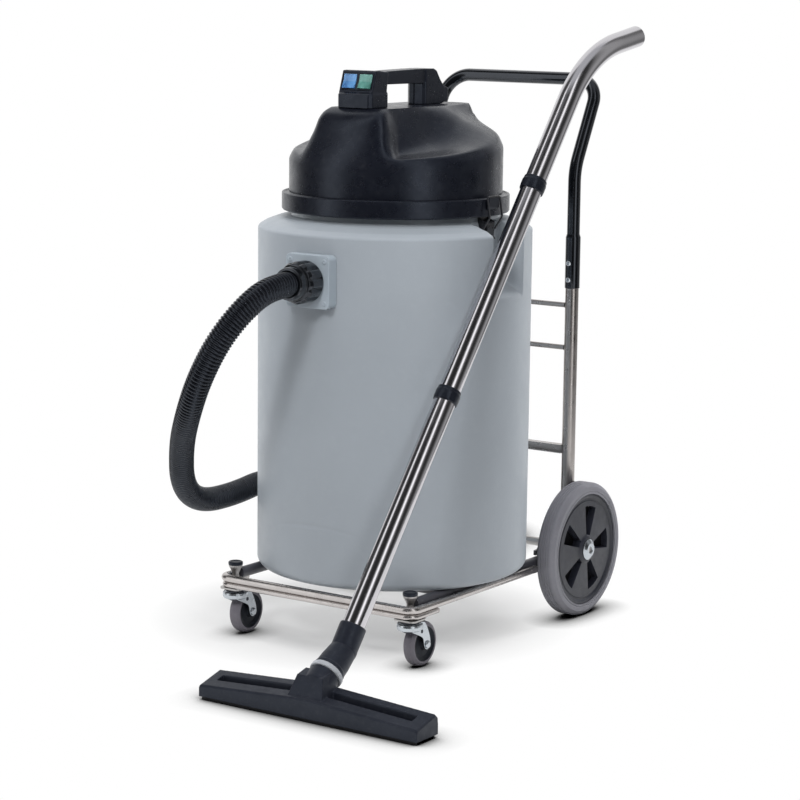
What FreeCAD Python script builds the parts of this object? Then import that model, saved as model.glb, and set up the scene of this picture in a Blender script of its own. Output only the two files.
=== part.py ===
import FreeCAD, Part
import math
import os

# Drum vacuum on a two wheel trolley, millimetres.
# Working frame: drum axis on the floor, front towards -Y, right hand side +X, up +Z.
# The finished solids are moved so that the origin lies under the middle of the machine.

# Rear wheels
WHEEL_DIA = 250.0
WHEEL_WIDTH = 38.0
WHEEL_FACE_X = 239.0
WHEEL_Y = 295.0
TYRE_DEPTH = 21.0
TYRE_CROWN = 7.0
RIM_WEB = 5.0
RIM_WINDOWS = 5
RIM_WINDOW_INNER = 33.0
RIM_WINDOW_OUTER = 81.0
RIM_WINDOW_HALF_ANGLE = 13.5
RIM_TURN = 12.0
HUB_DIA = 46.0
HUB_CAP_DIA = 40.0
HUB_CAP_HEIGHT = 6.0
HUB_REACH = 8.0
HUB_BORE_DIA = 16.1
AXLE_DIA = 16.0

# Front castors
CASTOR_DIA = 80.0
CASTOR_WIDTH = 24.0
CASTOR_TRAIL = 31.0
CASTOR_X = 190.0
CASTOR_Y = -217.5
CASTOR_TREAD = 9.0
CASTOR_CROWN_DIA = 46.0
CASTOR_SHEET = 2.5
CASTOR_BOLT_DIA = 8.0
CASTOR_BOLT_HEAD = 14.0
CASTOR_RACE_DIA = 42.0

# Chassis
POST_DIA = 22.0
POST_TOP = 130.0
POST_CAP = 7.0
POST_CAP_DIA = 26.0
RAIL_DIA = 14.0
RAIL_Z = 108.0
FRONT_ROD_DIA = 10.0
SIDE_TUBE_DIA = 20.0
PLATE_THICK = 3.0
PLATE_SIZE = 44.0
ROD_RETURN = 58.0
CROSS_TUBE_DIA = 16.0
CROSS_TUBE_PLACES = (-110.0, 90.0)

# Rear frame and push handle
UPRIGHT_DIA = 25.0
UPRIGHT_X = 168.0
UPRIGHT_Y = 338.0
UPRIGHT_TOP = 694.0
UPRIGHT_FOOT = 100.0
CROSS_ROD_DIA = 9.5
CROSS_ROD_HEIGHTS = (493.0, 573.0)
CROSS_BAR_HEIGHT = 300.0
CROSS_BAR_SIZE = 16.0
BRACKET_THICK = 5.0
BRACE_TOP = 240.0
BRACE_FOOT_Y = 199.0
BRACE_DIA = 5.0
RAIL_END_ROOM = 8.0
HANDLE_DIA = 24.0
SLEEVE_DIA = 28.0
SLEEVE_BORE = 25.4
SLEEVE_FOOT = 606.0
HANDLE_KNEE_Z = 827.0
HANDLE_BAR_Y = 421.0
HANDLE_BAR_Z = 989.0
HANDLE_CORNER = 48.0
HANDLE_KNEE = 100.0
HANDLE_BOLT_HEIGHTS = (622.0, 653.0)
HANDLE_BOLT_HEAD = 10.0

# Drum
DRUM_DIA = 489.0
DRUM_FOOT = 123.2
DRUM_SHOULDER = 738.0
DRUM_WALL = 5.0
DRUM_FOOT_ROUND = 14.0
DRUM_SHOULDER_ROUND = 12.0
NECK_DIA = 368.0
NECK_TOP = 770.0
RECESS_HALF = 45.0
RECESS_DEPTH = 55.0
RECESS_FOOT = 626.0
RECESS_SLOPE = 34.0
HOOK_WIDTH = 44.0
HOOK_HEIGHT = 70.0

# Inlet
INLET_Z = 661.0
FLANGE_SIZE = 92.0
FLANGE_ROUND = 9.0
FLANGE_STAND = 18.5
FLANGE_FACE_Y = -(DRUM_DIA / 2 + FLANGE_STAND)
SPIGOT_DIA = 50.0
SPIGOT_BORE = 38.0
SPIGOT_REACH = 40.0
DEFLECTOR_DEPTH = 76.0
DEFLECTOR_DROP = 74.0
DEFLECTOR_SET = 12.0
NUT_DIA = 67.0
NUT_LENGTH = 38.0
NUT_COLLAR_DIA = 56.0
NUT_COLLAR_LENGTH = 18.0
NUT_RIDGES = 12
NUT_RIDGE_DEPTH = 4.0
NUT_HOSE_ROOM = 0.9

# Hose
HOSE_DIA = 44.0
HOSE_BORE = 35.0
HOSE_RIB_DEPTH = 2.0
HOSE_RIBS = 46
HOSE_START_Y = FLANGE_FACE_Y - SPIGOT_REACH
HOSE_ROUTE = (
    (0.0, -362.0, 661.0),
    (-14.0, -412.0, 633.0),
    (-42.0, -450.0, 578.0),
    (-75.0, -462.0, 510.0),
    (-115.0, -443.0, 444.0),
    (-182.0, -380.0, 372.0),
    (-236.0, -312.0, 283.0),
    (-268.0, -222.0, 236.0),
    (-281.0, -108.0, 230.0),
    (-297.0, 12.0, 238.0),
    (-325.0, 131.0, 196.0),
    (-345.0, 235.0, 105.0),
    (-338.0, 332.0, 40.0),
)
COIL_X = -440.0
COIL_Y = 640.0
COIL_START_RADIUS = 257.0
COIL_STEP = 24.0
COIL_QUARTERS = 4
COIL_START_ANGLE = -30.0
COIL_RUN_IN = 118.0
CUFF_DIA = 48.0
CUFF_LENGTH = 95.0

# Head
LIP_DIA = 405.4
LIP_HEIGHT = 27.0
DOME_DIA = 380.0
DOME_EDGE_Z = 868.0
DOME_TILT = 0.1
PLATEAU_Z = 950.0
SPINE_HALF = 58.0
SPINE_FRONT = 129.0
SPINE_REAR = 138.0
NOSE_HALF_ANGLE = 30.0
HEAD_WALL = 4.5
SEAL_WIDTH = 9.0
SEAL_HEIGHT = 4.0
MOTOR_PLATE_THICK = 6.0
MOTOR_SPACING = 132.0
MOTOR_DIA = 122.0
MOTOR_FAN_HEIGHT = 46.0
MOTOR_TOP_DIA = 84.0
MOTOR_HEIGHT = 128.0
MOTOR_WALL = 3.0
FAN_DIA = 104.0
FAN_HEIGHT = 18.0
FAN_BLADES = 6
SHAFT_DIA = 8.0
CAGE_DIA = 108.0
CAGE_HEIGHT = 118.0
CAGE_BARS = 6
CAGE_BAR_DIA = 9.0
CAGE_DISH = 14.0
CAGE_PORT_DIA = 58.0
FLOAT_DIA = 74.0
FLOAT_HEIGHT = 60.0

# Carry handle and switches
BOX_WIDTH = 70.0
BOX_FRONT = -134.0
BOX_BACK = -82.0
BOX_RISE = 27.0
BOX_TOP = PLATEAU_Z + BOX_RISE
PANEL_WIDTH = 70.0
PANEL_HEIGHT = 37.0
PANEL_TOP = BOX_TOP + PANEL_HEIGHT
PANEL_LEAN = 12.0
GRIP_WIDTH = 44.0
WINDOW_HEIGHT = 37.0
GRIP_UNDERSIDE = PLATEAU_Z + WINDOW_HEIGHT
GRIP_BACK = 86.0
BLOCK_WIDTH = 50.0
BLOCK_FRONT = 0.0
BLOCK_BACK = 134.0
BLOCK_HEIGHT = 35.0
BLOCK_STEP_Z = PLATEAU_Z + BLOCK_HEIGHT
ROCKER_WIDTH = 29.0
ROCKER_HEIGHT = 30.0
ROCKER_DEPTH = 9.0
ROCKER_PITCH = 33.0
ROCKER_ROOM = 1.5
ROCKER_PIN_DIA = 4.0
ROCKER_PIN_DEPTH = 4.0
GLAND_DIA = 17.0
GLAND_LENGTH = 22.0
GLAND_BORE = 8.4

# Lid clamps
CLAMP_PIVOT_Z = 752.0
CLAMP_PIVOT_OUT = 196.0
CLAMP_WIDTH = 30.0
CLAMP_SHEET = 2.5
CLAMP_PIN_DIA = 4.0
LEVER_REACH = 26.0
LEVER_WIDTH = 22.0
BAIL_WIRE = 3.6
BAIL_PIVOT_Z = 743.0
BAIL_HALF = 20.0
BAIL_TIP = 4.0
KEEPER_TOP = 799.0
KEEPER_OUT = 208.0
KEEPER_WIDTH = 32.0

# Wand
WAND_DIA = 38.0
WAND_WALL = 1.5
WAND_FOOT_INSIDE = 8.8
WAND_SHOULDER_OUTSIDE = 34.5
WAND_FOOT = (DRUM_DIA / 2 - WAND_FOOT_INSIDE, -439.2, 143.5)
WAND_SHOULDER = (DRUM_DIA / 2 + WAND_SHOULDER_OUTSIDE, 109.7, 948.9)
WAND_LOWER_LENGTH = 410.0
WAND_UPPER_LENGTH = 412.0
WAND_COLLAR_DIA = 43.5
WAND_COLLAR_LENGTH = 24.0
BEND_STRAIGHT = 174.0
BEND_RADIUS = 230.0
BEND_ANGLE = 45.0
BEND_TAIL = 60.0

# Floor tool
TOOL_LENGTH = 434.0
TOOL_FRONT_Y = -577.0
TOOL_DEPTH = 60.0
TOOL_SKIRT = 5.0
TOOL_FRONT_HEIGHT = 25.0
TOOL_BACK_HEIGHT = 39.0
TOOL_ROOF_RISE = 13.0
TOOL_WALL = 4.0
TOOL_SLOT_WIDTH = 15.0
TOOL_SLOT_LENGTH = 128.0
TOOL_SLOT_DEPTH = 11.0
TOOL_SADDLE_WIDTH = 62.0
BLADE_THICK = 3.0
BLADE_HEIGHT = 16.0
NECK_ANGLE = 32.0
NECK_OUTER_DIA = 53.0
NECK_BORE_DIA = 36.0
RING_OFFSET = 55.0
RING_LENGTH = 9.0
RING_DIA = 58.0
ELBOW_DIA = 52.0
ELBOW_CUFF_DIA = 45.0
ELBOW_CUFF_LENGTH = 44.0
ELBOW_REACH = 58.0

# Clearances
GAP = 0.3
SEAT = 0.05

X = FreeCAD.Vector(1, 0, 0)
Y = FreeCAD.Vector(0, 1, 0)
Z = FreeCAD.Vector(0, 0, 1)
SIDES = (("left", -1), ("right", 1))


def vec(x, y, z):
    return FreeCAD.Vector(x, y, z)


def unit(v):
    return v / v.Length


# Basic solids

def rod(diameter, start, end):
    along = end - start
    return Part.makeCylinder(diameter / 2, along.Length, start, along)


def tube(outer, inner, start, end):
    return rod(outer, start, end).cut(rod(inner, start, end))


def block(x0, x1, y0, y1, z0, z1):
    return Part.makeBox(x1 - x0, y1 - y0, z1 - z0, vec(x0, y0, z0))


def turned(profile, base=None, axis=None):
    """Solid of revolution; the profile is a list of (radius, height along the axis)."""
    face = Part.Face(Part.makePolygon([vec(r, 0, h) for r, h in profile + profile[:1]]))
    solid = face.revolve(vec(0, 0, 0), Z, 360)
    if axis is not None:
        solid.Placement = FreeCAD.Placement(base, FreeCAD.Rotation(Z, axis))
    elif base is not None:
        solid.translate(base)
    return solid


def plate(points, thickness_vector):
    """Flat prism from a closed outline."""
    return Part.Face(Part.makePolygon(points + points[:1])).extrude(thickness_vector)


def rounded(solid, radius, picks):
    """Fillet the edges whose middle point is picked."""
    edges = [e for e in solid.Edges if picks(e.valueAt((e.FirstParameter + e.LastParameter) / 2))]
    return solid.makeFillet(radius, edges) if edges else solid


def fused(first, *others):
    return first.fuse(list(others)).removeSplitter()


# Paths of straight runs joined by tangent arcs

def path_pieces(points, radii):
    """Lines and arcs of a rounded path, as (kind, start, end, middle, length) records."""
    pieces = []
    at = points[0]
    for i in range(1, len(points) - 1):
        before = unit(points[i] - points[i - 1])
        after = unit(points[i + 1] - points[i])
        half = math.acos(max(-1, min(1, before.dot(after)))) / 2
        back = radii[i - 1] * math.tan(half)
        first = points[i] - before * back
        last = points[i] + after * back
        inward = unit(after - before)
        centre = points[i] + inward * (radii[i - 1] / math.cos(half))
        pieces.append(("line", at, first, None, (first - at).Length))
        pieces.append(("arc", first, last, centre - inward * radii[i - 1], 2 * half * radii[i - 1]))
        at = last
    pieces.append(("line", at, points[-1], None, (points[-1] - at).Length))
    return pieces


def path_wire(pieces):
    edges = []
    for kind, start, end, middle, length in pieces:
        if kind == "line":
            edges.append(Part.LineSegment(start, end).toShape())
        else:
            edges.append(Part.Arc(start, middle, end).toShape())
    return Part.Wire(edges)


def swept(diameter, wire, start, heading):
    ring = Part.Wire(Part.makeCircle(diameter / 2, start, heading))
    return wire.makePipeShell([ring], True, False)


def mitred(diameter, wire):
    """Round bar along straight runs with square mitres."""
    first = wire.Edges[0]
    start = first.valueAt(first.FirstParameter)
    ring = Part.Wire(Part.makeCircle(diameter / 2, start, first.tangentAt(first.FirstParameter)))
    return wire.makePipeShell([ring], True, False, 1)


def bent_rod(diameter, points, radii):
    wire = path_wire(path_pieces(points, radii))
    return swept(diameter, wire, points[0], points[1] - points[0])


# Chassis

def corner_points(height, out):
    """Outline of the front rail: back along both sides and round the castor posts."""
    back = WHEEL_Y - WHEEL_DIA / 2 - RAIL_END_ROOM
    return [
        vec(-out, back, height),
        vec(-out, CASTOR_Y - out + CASTOR_X, height),
        vec(out, CASTOR_Y - out + CASTOR_X, height),
        vec(out, back, height),
    ]


def plate_top():
    return RAIL_Z - RAIL_DIA / 2 - FRONT_ROD_DIA - GAP


def rail_out():
    return CASTOR_X + POST_DIA / 2 + RAIL_DIA / 2 + GAP


def chassis_rail():
    return bent_rod(RAIL_DIA, corner_points(RAIL_Z, rail_out()), [rail_out() - CASTOR_X] * 2)


def front_rod():
    """Thinner rod welded under the front of the rail, with its ends bent back."""
    height = RAIL_Z - RAIL_DIA / 2 - FRONT_ROD_DIA / 2 - GAP / 2
    points = corner_points(height, rail_out())
    points[0] = vec(points[0].x, CASTOR_Y + ROD_RETURN, height)
    points[3] = vec(points[3].x, CASTOR_Y + ROD_RETURN, height)
    return bent_rod(FRONT_ROD_DIA, points, [rail_out() - CASTOR_X] * 2)


def side_tube_z():
    return DRUM_FOOT - SIDE_TUBE_DIA / 2 - GAP / 2


def bracket_in():
    return UPRIGHT_X + UPRIGHT_DIA / 2 + GAP


def base_tubes():
    """Side tubes from the castor posts to the axle brackets, and the cross tubes between them, tops level."""
    z = side_tube_z()
    front = CASTOR_Y + POST_DIA / 2 + GAP
    back = WHEEL_Y - 46 - GAP
    tubes = [
        rod(SIDE_TUBE_DIA, vec(s * CASTOR_X, front, z), vec(s * CASTOR_X, back, z)) for name, s in SIDES
    ]
    reach = CASTOR_X - SIDE_TUBE_DIA / 2 - GAP
    level = z + SIDE_TUBE_DIA / 2 - CROSS_TUBE_DIA / 2
    tubes += [rod(CROSS_TUBE_DIA, vec(-reach, y, level), vec(reach, y, level)) for y in CROSS_TUBE_PLACES]
    return Part.makeCompound(tubes)


def corner_plates():
    top = plate_top()
    plates = []
    for name, s in SIDES:
        half = PLATE_SIZE / 2
        base = block(s * CASTOR_X - half, s * CASTOR_X + half, CASTOR_Y - half, CASTOR_Y + half,
                     top - PLATE_THICK, top)
        plates.append(base.makeFillet(9, [e for e in base.Edges if abs(e.tangentAt(0).z) > 0.9]))
    return Part.makeCompound(plates)


def castor_posts():
    return Part.makeCompound([
        rod(POST_DIA, vec(s * CASTOR_X, CASTOR_Y, plate_top()), vec(s * CASTOR_X, CASTOR_Y, POST_TOP))
        for name, s in SIDES
    ])


def post_caps():
    """Domed black plugs on the posts."""
    r = POST_CAP_DIA / 2
    cap = [(0, 0), (r, 0), (r, POST_CAP * 0.6), (r - 3, POST_CAP), (0, POST_CAP)]
    return Part.makeCompound([turned(cap, vec(s * CASTOR_X, CASTOR_Y, POST_TOP)) for name, s in SIDES])


def castor_races():
    """Ball race under each corner plate: a dark ring below a stepped top plate."""
    top = plate_top() - PLATE_THICK
    low = crown_top() + GAP
    r = CASTOR_RACE_DIA / 2
    ring = [(0, low), (r - 2, low), (r, low + 1.2), (r, top), (0, top)]
    return Part.makeCompound([turned(ring, vec(s * CASTOR_X, CASTOR_Y, 0)) for name, s in SIDES])


# Castors

def crown_top():
    return CASTOR_DIA + 4.0


def castor_fork(s):
    """Pressed fork: a round crown, two tapered legs and the wheel bolt."""
    x, y = s * CASTOR_X, CASTOR_Y
    top = crown_top()
    axle_y = y + CASTOR_TRAIL
    axle_z = CASTOR_DIA / 2
    r = CASTOR_CROWN_DIA / 2
    crown = turned([(0, top - 15), (r - 2.5, top - 15), (r, top - 12), (r, top - 3), (r - 3, top), (0, top)],
                   vec(x, y, 0))
    inner = CASTOR_WIDTH / 2 + 1.5
    room = rod(CASTOR_DIA + 5, vec(x - inner, axle_y, axle_z), vec(x + inner, axle_y, axle_z))
    solid = crown.cut(room)
    lobe = CASTOR_BOLT_HEAD / 2 + 2.5
    for side in (-1, 1):
        outer = x + side * (inner + CASTOR_SHEET)
        inside = x + side * inner
        low, high = min(outer, inside), max(outer, inside)
        outline = [
            vec(low, y - 12, top - 1), vec(low, y - 14, top - 14), vec(low, axle_y - lobe * 0.9, axle_z - lobe * 0.4),
            vec(low, axle_y, axle_z - lobe), vec(low, axle_y + lobe * 0.9, axle_z - lobe * 0.4),
            vec(low, axle_y + lobe, axle_z + 10), vec(low, y + 26, top - 12), vec(low, y + 16, top - 1),
        ]
        leg = plate(outline, vec(high - low, 0, 0))
        hole = rod(7, vec(low - 1, y + 13, top - 17), vec(high + 1, y + 13, top - 17))
        solid = solid.fuse(leg.cut(hole))
    reach = inner + CASTOR_SHEET
    bolt = rod(CASTOR_BOLT_DIA, vec(x - reach, axle_y, axle_z), vec(x + reach, axle_y, axle_z))
    heads = [
        rod(CASTOR_BOLT_HEAD, vec(x + e * reach, axle_y, axle_z), vec(x + e * (reach + 3.5), axle_y, axle_z))
        for e in (-1, 1)
    ]
    return fused(solid, bolt, *heads)


def castor_core(s):
    """Black wheel centre with a raised hub and a dished web."""
    half = CASTOR_WIDTH / 2
    rim = CASTOR_DIA / 2 - CASTOR_TREAD
    bore = CASTOR_BOLT_DIA / 2 + SEAT
    profile = [
        (bore, -half), (bore + 7, -half), (bore + 7, 5 - half), (rim - 4, 5 - half), (rim - 4, 2 - half),
        (rim, 2 - half), (rim, half - 2), (rim - 4, half - 2), (rim - 4, half - 5), (bore + 7, half - 5),
        (bore + 7, half), (bore, half),
    ]
    return turned(profile, vec(s * CASTOR_X, CASTOR_Y + CASTOR_TRAIL, CASTOR_DIA / 2), X)


def castor_tread(s):
    half = CASTOR_WIDTH / 2
    r = CASTOR_DIA / 2
    inner = r - CASTOR_TREAD
    profile = [
        (inner, 1 - half), (r - 6, 1 - half), (r, 7 - half), (r, half - 7), (r - 6, half - 1), (inner, half - 1),
    ]
    return turned(profile, vec(s * CASTOR_X, CASTOR_Y + CASTOR_TRAIL, CASTOR_DIA / 2), X)


# Rear wheels and axle

def wheel_middle(s):
    return vec(s * (WHEEL_FACE_X - WHEEL_WIDTH / 2), WHEEL_Y, WHEEL_DIA / 2)


def rear_tyre(s):
    half = WHEEL_WIDTH / 2
    r = WHEEL_DIA / 2
    inner = r - TYRE_DEPTH
    profile = [
        (inner, -half), (r - TYRE_CROWN, -half), (r - TYRE_CROWN * 0.3, TYRE_CROWN * 0.5 - half),
        (r, TYRE_CROWN - half), (r, half - TYRE_CROWN), (r - TYRE_CROWN * 0.3, half - TYRE_CROWN * 0.5),
        (r - TYRE_CROWN, half), (inner, half),
    ]
    return turned(profile, wheel_middle(s), X * s)


def hub_outer():
    """Distance of the hub end from the middle plane of the wheel."""
    return WHEEL_WIDTH / 2 + HUB_REACH - HUB_CAP_HEIGHT


def rear_rim(s):
    """Moulded wheel centre: rim, dished web with wedge windows and a long hub."""
    half = WHEEL_WIDTH / 2
    rim = WHEEL_DIA / 2 - TYRE_DEPTH
    bore = HUB_BORE_DIA / 2
    hub = HUB_DIA / 2
    inboard = -(WHEEL_FACE_X - half - bracket_in() - BRACKET_THICK - 1.5)
    profile = [
        (bore, inboard), (hub, inboard), (hub, -4), (rim - 6, -4), (rim - 6, 2 - half), (rim, 2 - half),
        (rim, half - 3), (rim - 6, half - 5), (hub + 4, half - 2), (hub, hub_outer()), (bore, hub_outer()),
    ]
    solid = turned(profile)
    floor = RIM_WEB - 4
    step = 2 * math.pi / RIM_WINDOWS
    half_angle = math.radians(RIM_WINDOW_HALF_ANGLE)
    for i in range(RIM_WINDOWS):
        mid = i * step + math.pi - math.radians(RIM_TURN)
        corners = [
            (RIM_WINDOW_INNER, mid - half_angle), (RIM_WINDOW_INNER, mid + half_angle),
            (RIM_WINDOW_OUTER, mid + half_angle), (RIM_WINDOW_OUTER, mid - half_angle),
        ]
        outline = [vec(r * math.cos(a), r * math.sin(a), floor) for r, a in corners]
        solid = solid.cut(plate(outline, vec(0, 0, WHEEL_WIDTH)))
    solid.Placement = FreeCAD.Placement(wheel_middle(s), FreeCAD.Rotation(Z, X * s))
    return solid


def hub_cap(s):
    """Bright push-on cap over the end of the axle."""
    r = HUB_CAP_DIA / 2
    h = HUB_CAP_HEIGHT
    profile = [(AXLE_DIA / 2 + GAP, 0), (r, 0), (r, h * 0.5), (r - 4, h), (5, h), (5, h - 1.5),
               (AXLE_DIA / 2 + GAP, h - 1.5)]
    return turned(profile, wheel_middle(s) + X * (s * (hub_outer() + GAP)), X * s)


def axle():
    reach = WHEEL_FACE_X + HUB_REACH - 2.5
    return rod(AXLE_DIA, vec(-reach, WHEEL_Y, WHEEL_DIA / 2), vec(reach, WHEEL_Y, WHEEL_DIA / 2))


def axle_brackets():
    """Side plates that join side tube, upright and axle, each with a brace to the upright."""
    parts = []
    for name, s in SIDES:
        inside, outside = s * bracket_in(), s * (bracket_in() + BRACKET_THICK)
        low, high = min(inside, outside), max(inside, outside)
        shelf = side_tube_z() + SIDE_TUBE_DIA / 2 + GAP
        outline = [
            (WHEEL_Y - 46, side_tube_z() - 10), (UPRIGHT_Y + 12, side_tube_z() - 10),
            (UPRIGHT_Y + 12, WHEEL_DIA / 2 + 26), (UPRIGHT_Y - 24, WHEEL_DIA / 2 + 26),
            (WHEEL_Y - 46, shelf + 12), (BRACE_FOOT_Y, shelf + 9), (BRACE_FOOT_Y, shelf), (WHEEL_Y - 46, shelf),
        ]
        sheet = plate([vec(low, y, z) for y, z in outline], vec(high - low, 0, 0))
        hole = rod(AXLE_DIA + 2 * SEAT, vec(low - 1, WHEEL_Y, WHEEL_DIA / 2), vec(high + 1, WHEEL_Y, WHEEL_DIA / 2))
        middle = (low + high) / 2
        foot = vec(middle, BRACE_FOOT_Y + 6, shelf + 5)
        head = vec(middle, UPRIGHT_Y - 2, BRACE_TOP)
        parts.append(fused(sheet.cut(hole), rod(BRACE_DIA, foot, head)))
    return Part.makeCompound(parts)


def uprights():
    return Part.makeCompound([
        rod(UPRIGHT_DIA, vec(s * UPRIGHT_X, UPRIGHT_Y, UPRIGHT_FOOT), vec(s * UPRIGHT_X, UPRIGHT_Y, UPRIGHT_TOP))
        for name, s in SIDES
    ])


def between_uprights():
    return UPRIGHT_X - UPRIGHT_DIA / 2 - GAP


def cross_rods():
    reach = between_uprights()
    return Part.makeCompound([
        rod(CROSS_ROD_DIA, vec(-reach, UPRIGHT_Y, z), vec(reach, UPRIGHT_Y, z)) for z in CROSS_ROD_HEIGHTS
    ])


def cross_bar():
    """Lower cross bar, an open channel with its lips towards the drum."""
    reach = between_uprights()
    half = CROSS_BAR_SIZE / 2
    outer = block(-reach, reach, UPRIGHT_Y - half, UPRIGHT_Y + half, CROSS_BAR_HEIGHT - half, CROSS_BAR_HEIGHT + half)
    inner = block(-reach - 1, reach + 1, UPRIGHT_Y - half - 1, UPRIGHT_Y + half - 2,
                  CROSS_BAR_HEIGHT - half + 2, CROSS_BAR_HEIGHT + half - 2)
    return outer.cut(inner)


def push_handle():
    """One bent tube: sleeves over the uprights, a knee that leans back and a cross grip."""
    start = SLEEVE_FOOT + 60
    points = [
        vec(-UPRIGHT_X, UPRIGHT_Y, start), vec(-UPRIGHT_X, UPRIGHT_Y, HANDLE_KNEE_Z),
        vec(-UPRIGHT_X, HANDLE_BAR_Y, HANDLE_BAR_Z), vec(UPRIGHT_X, HANDLE_BAR_Y, HANDLE_BAR_Z),
        vec(UPRIGHT_X, UPRIGHT_Y, HANDLE_KNEE_Z), vec(UPRIGHT_X, UPRIGHT_Y, start),
    ]
    solid = bent_rod(HANDLE_DIA, points, [HANDLE_KNEE, HANDLE_CORNER, HANDLE_CORNER, HANDLE_KNEE])
    sleeve_top = UPRIGHT_TOP + 8
    r = SLEEVE_DIA / 2
    for name, s in SIDES:
        at = vec(s * UPRIGHT_X, UPRIGHT_Y, 0)
        sleeve = turned([(0, SLEEVE_FOOT), (r, SLEEVE_FOOT), (r, sleeve_top), (HANDLE_DIA / 2, sleeve_top + 6),
                         (0, sleeve_top + 6)], at)
        solid = solid.fuse(sleeve)
    for name, s in SIDES:
        at = vec(s * UPRIGHT_X, UPRIGHT_Y, 0)
        solid = solid.cut(rod(SLEEVE_BORE, at + Z * (SLEEVE_FOOT - 1), at + Z * (UPRIGHT_TOP + GAP)))
    return solid


def handle_bolts():
    """Domed bolt heads on the front of each sleeve."""
    r = HANDLE_BOLT_HEAD / 2
    dome = [(0, 0), (r, 0), (r, 1.6), (r * 0.6, 3.6), (0, 3.6)]
    at = UPRIGHT_Y - SLEEVE_DIA / 2 - GAP
    return Part.makeCompound([
        turned(dome, vec(s * UPRIGHT_X, at, z), Y * -1) for name, s in SIDES for z in HANDLE_BOLT_HEIGHTS
    ])


# Drum and inlet

def quarter(centre_r, centre_h, radius, start, steps=3):
    """Points of a quarter round in a profile, starting at an angle in degrees."""
    angles = [math.radians(start + 90 * i / steps) for i in range(steps + 1)]
    return [(centre_r + radius * math.cos(a), centre_h + radius * math.sin(a)) for a in angles]


def drum_outside():
    """Outer form: rounded foot, straight side, rounded shoulder, and the neck above it."""
    r = DRUM_DIA / 2
    foot, edge = DRUM_FOOT_ROUND, DRUM_SHOULDER_ROUND
    side = quarter(r - foot, DRUM_FOOT + foot, foot, -90) + quarter(r - edge, DRUM_SHOULDER - edge, edge, 0)
    return turned([(0, DRUM_FOOT)] + side + [(0, DRUM_SHOULDER)])


def drum_inside():
    r = DRUM_DIA / 2 - DRUM_WALL
    low, high = DRUM_FOOT + DRUM_WALL, DRUM_SHOULDER - DRUM_WALL
    slope = DRUM_FOOT_ROUND * 0.7
    return turned([(0, low), (r - slope, low), (r, low + slope), (r, high - slope), (r - slope, high), (0, high)])


def recess(s, grow):
    """Tool for the clamp recess: flat back, flat cheeks and a sloping floor."""
    back = DRUM_DIA / 2 - RECESS_DEPTH - grow
    half = RECESS_HALF + grow
    far = DRUM_DIA / 2 + 20
    low = RECESS_FOOT - grow
    outline = [
        vec(s * back, -half, DRUM_SHOULDER + 8), vec(s * back, -half, low + RECESS_SLOPE),
        vec(s * (DRUM_DIA / 2), -half, low), vec(s * far, -half, low - 6), vec(s * far, -half, DRUM_SHOULDER + 8),
    ]
    return plate(outline, vec(0, 2 * half, 0))


def drum():
    outer = drum_outside()
    inner = drum_inside()
    neck = rod(NECK_DIA, vec(0, 0, DRUM_SHOULDER - 2), vec(0, 0, NECK_TOP))
    inner_neck = rod(NECK_DIA - 2 * DRUM_WALL, vec(0, 0, DRUM_SHOULDER - DRUM_WALL - 2), vec(0, 0, NECK_TOP))
    for name, s in SIDES:
        outer = outer.cut(recess(s, 0))
        inner = inner.cut(recess(s, DRUM_WALL))
    outer = outer.fuse(neck)
    inner = inner.fuse(inner_neck)
    port = rod(SPIGOT_DIA + 2 * GAP, vec(0, -DRUM_DIA / 2 - 20, INLET_Z), vec(0, -DRUM_DIA / 2 + 30, INLET_Z))
    return outer.cut(inner).cut(port).removeSplitter()


def drum_bracket():
    """Hook plate at the back of the drum that drops over the upper cross rod."""
    z = CROSS_ROD_HEIGHTS[1]
    wall = DRUM_DIA / 2 + GAP
    half = HOOK_WIDTH / 2
    hook = plate([
        vec(-half, wall - 6, z + HOOK_HEIGHT), vec(-half, wall - 6, z + 22), vec(-half, wall + 16, z + 10),
        vec(-half, UPRIGHT_Y - 12, z + 10), vec(-half, UPRIGHT_Y - 12, z - 6), vec(-half, UPRIGHT_Y - 8, z - 6),
        vec(-half, UPRIGHT_Y - 8, z + CROSS_ROD_DIA / 2 + GAP), vec(-half, UPRIGHT_Y + 8, z + CROSS_ROD_DIA / 2 + GAP),
        vec(-half, UPRIGHT_Y + 8, z - 6), vec(-half, UPRIGHT_Y + 12, z - 6), vec(-half, UPRIGHT_Y + 12, z + 14),
        vec(-half, wall + 14, z + 16), vec(-half, wall + 4, z + 28), vec(-half, wall + 4, z + HOOK_HEIGHT),
    ], vec(HOOK_WIDTH, 0, 0))
    return hook.cut(rod(DRUM_DIA + 2 * GAP, vec(0, 0, 0), vec(0, 0, NECK_TOP)))


def inlet_flange():
    """Square boss on the drum, its spigot for the hose and the deflector inside."""
    half = FLANGE_SIZE / 2
    boss = block(-half, half, FLANGE_FACE_Y, -DRUM_DIA / 2 + 20, INLET_Z - half, INLET_Z + half)
    boss = boss.makeFillet(FLANGE_ROUND, [e for e in boss.Edges if abs(e.tangentAt(e.FirstParameter).y) > 0.9])
    boss = boss.cut(rod(DRUM_DIA + 2 * GAP, vec(0, 0, 0), vec(0, 0, NECK_TOP)))
    knee = vec(0, -DRUM_DIA / 2 + DEFLECTOR_DEPTH, INLET_Z)
    outlet = knee + vec(0, DEFLECTOR_SET, -DEFLECTOR_DROP)
    spigot = Part.makePolygon([vec(0, HOSE_START_Y, INLET_Z), knee, outlet])
    bore = Part.makePolygon([vec(0, HOSE_START_Y - 1, INLET_Z), knee, outlet + unit(outlet - knee)])
    solid = fused(boss, mitred(SPIGOT_DIA, spigot))
    return solid.cut(mitred(SPIGOT_BORE, bore))


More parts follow.
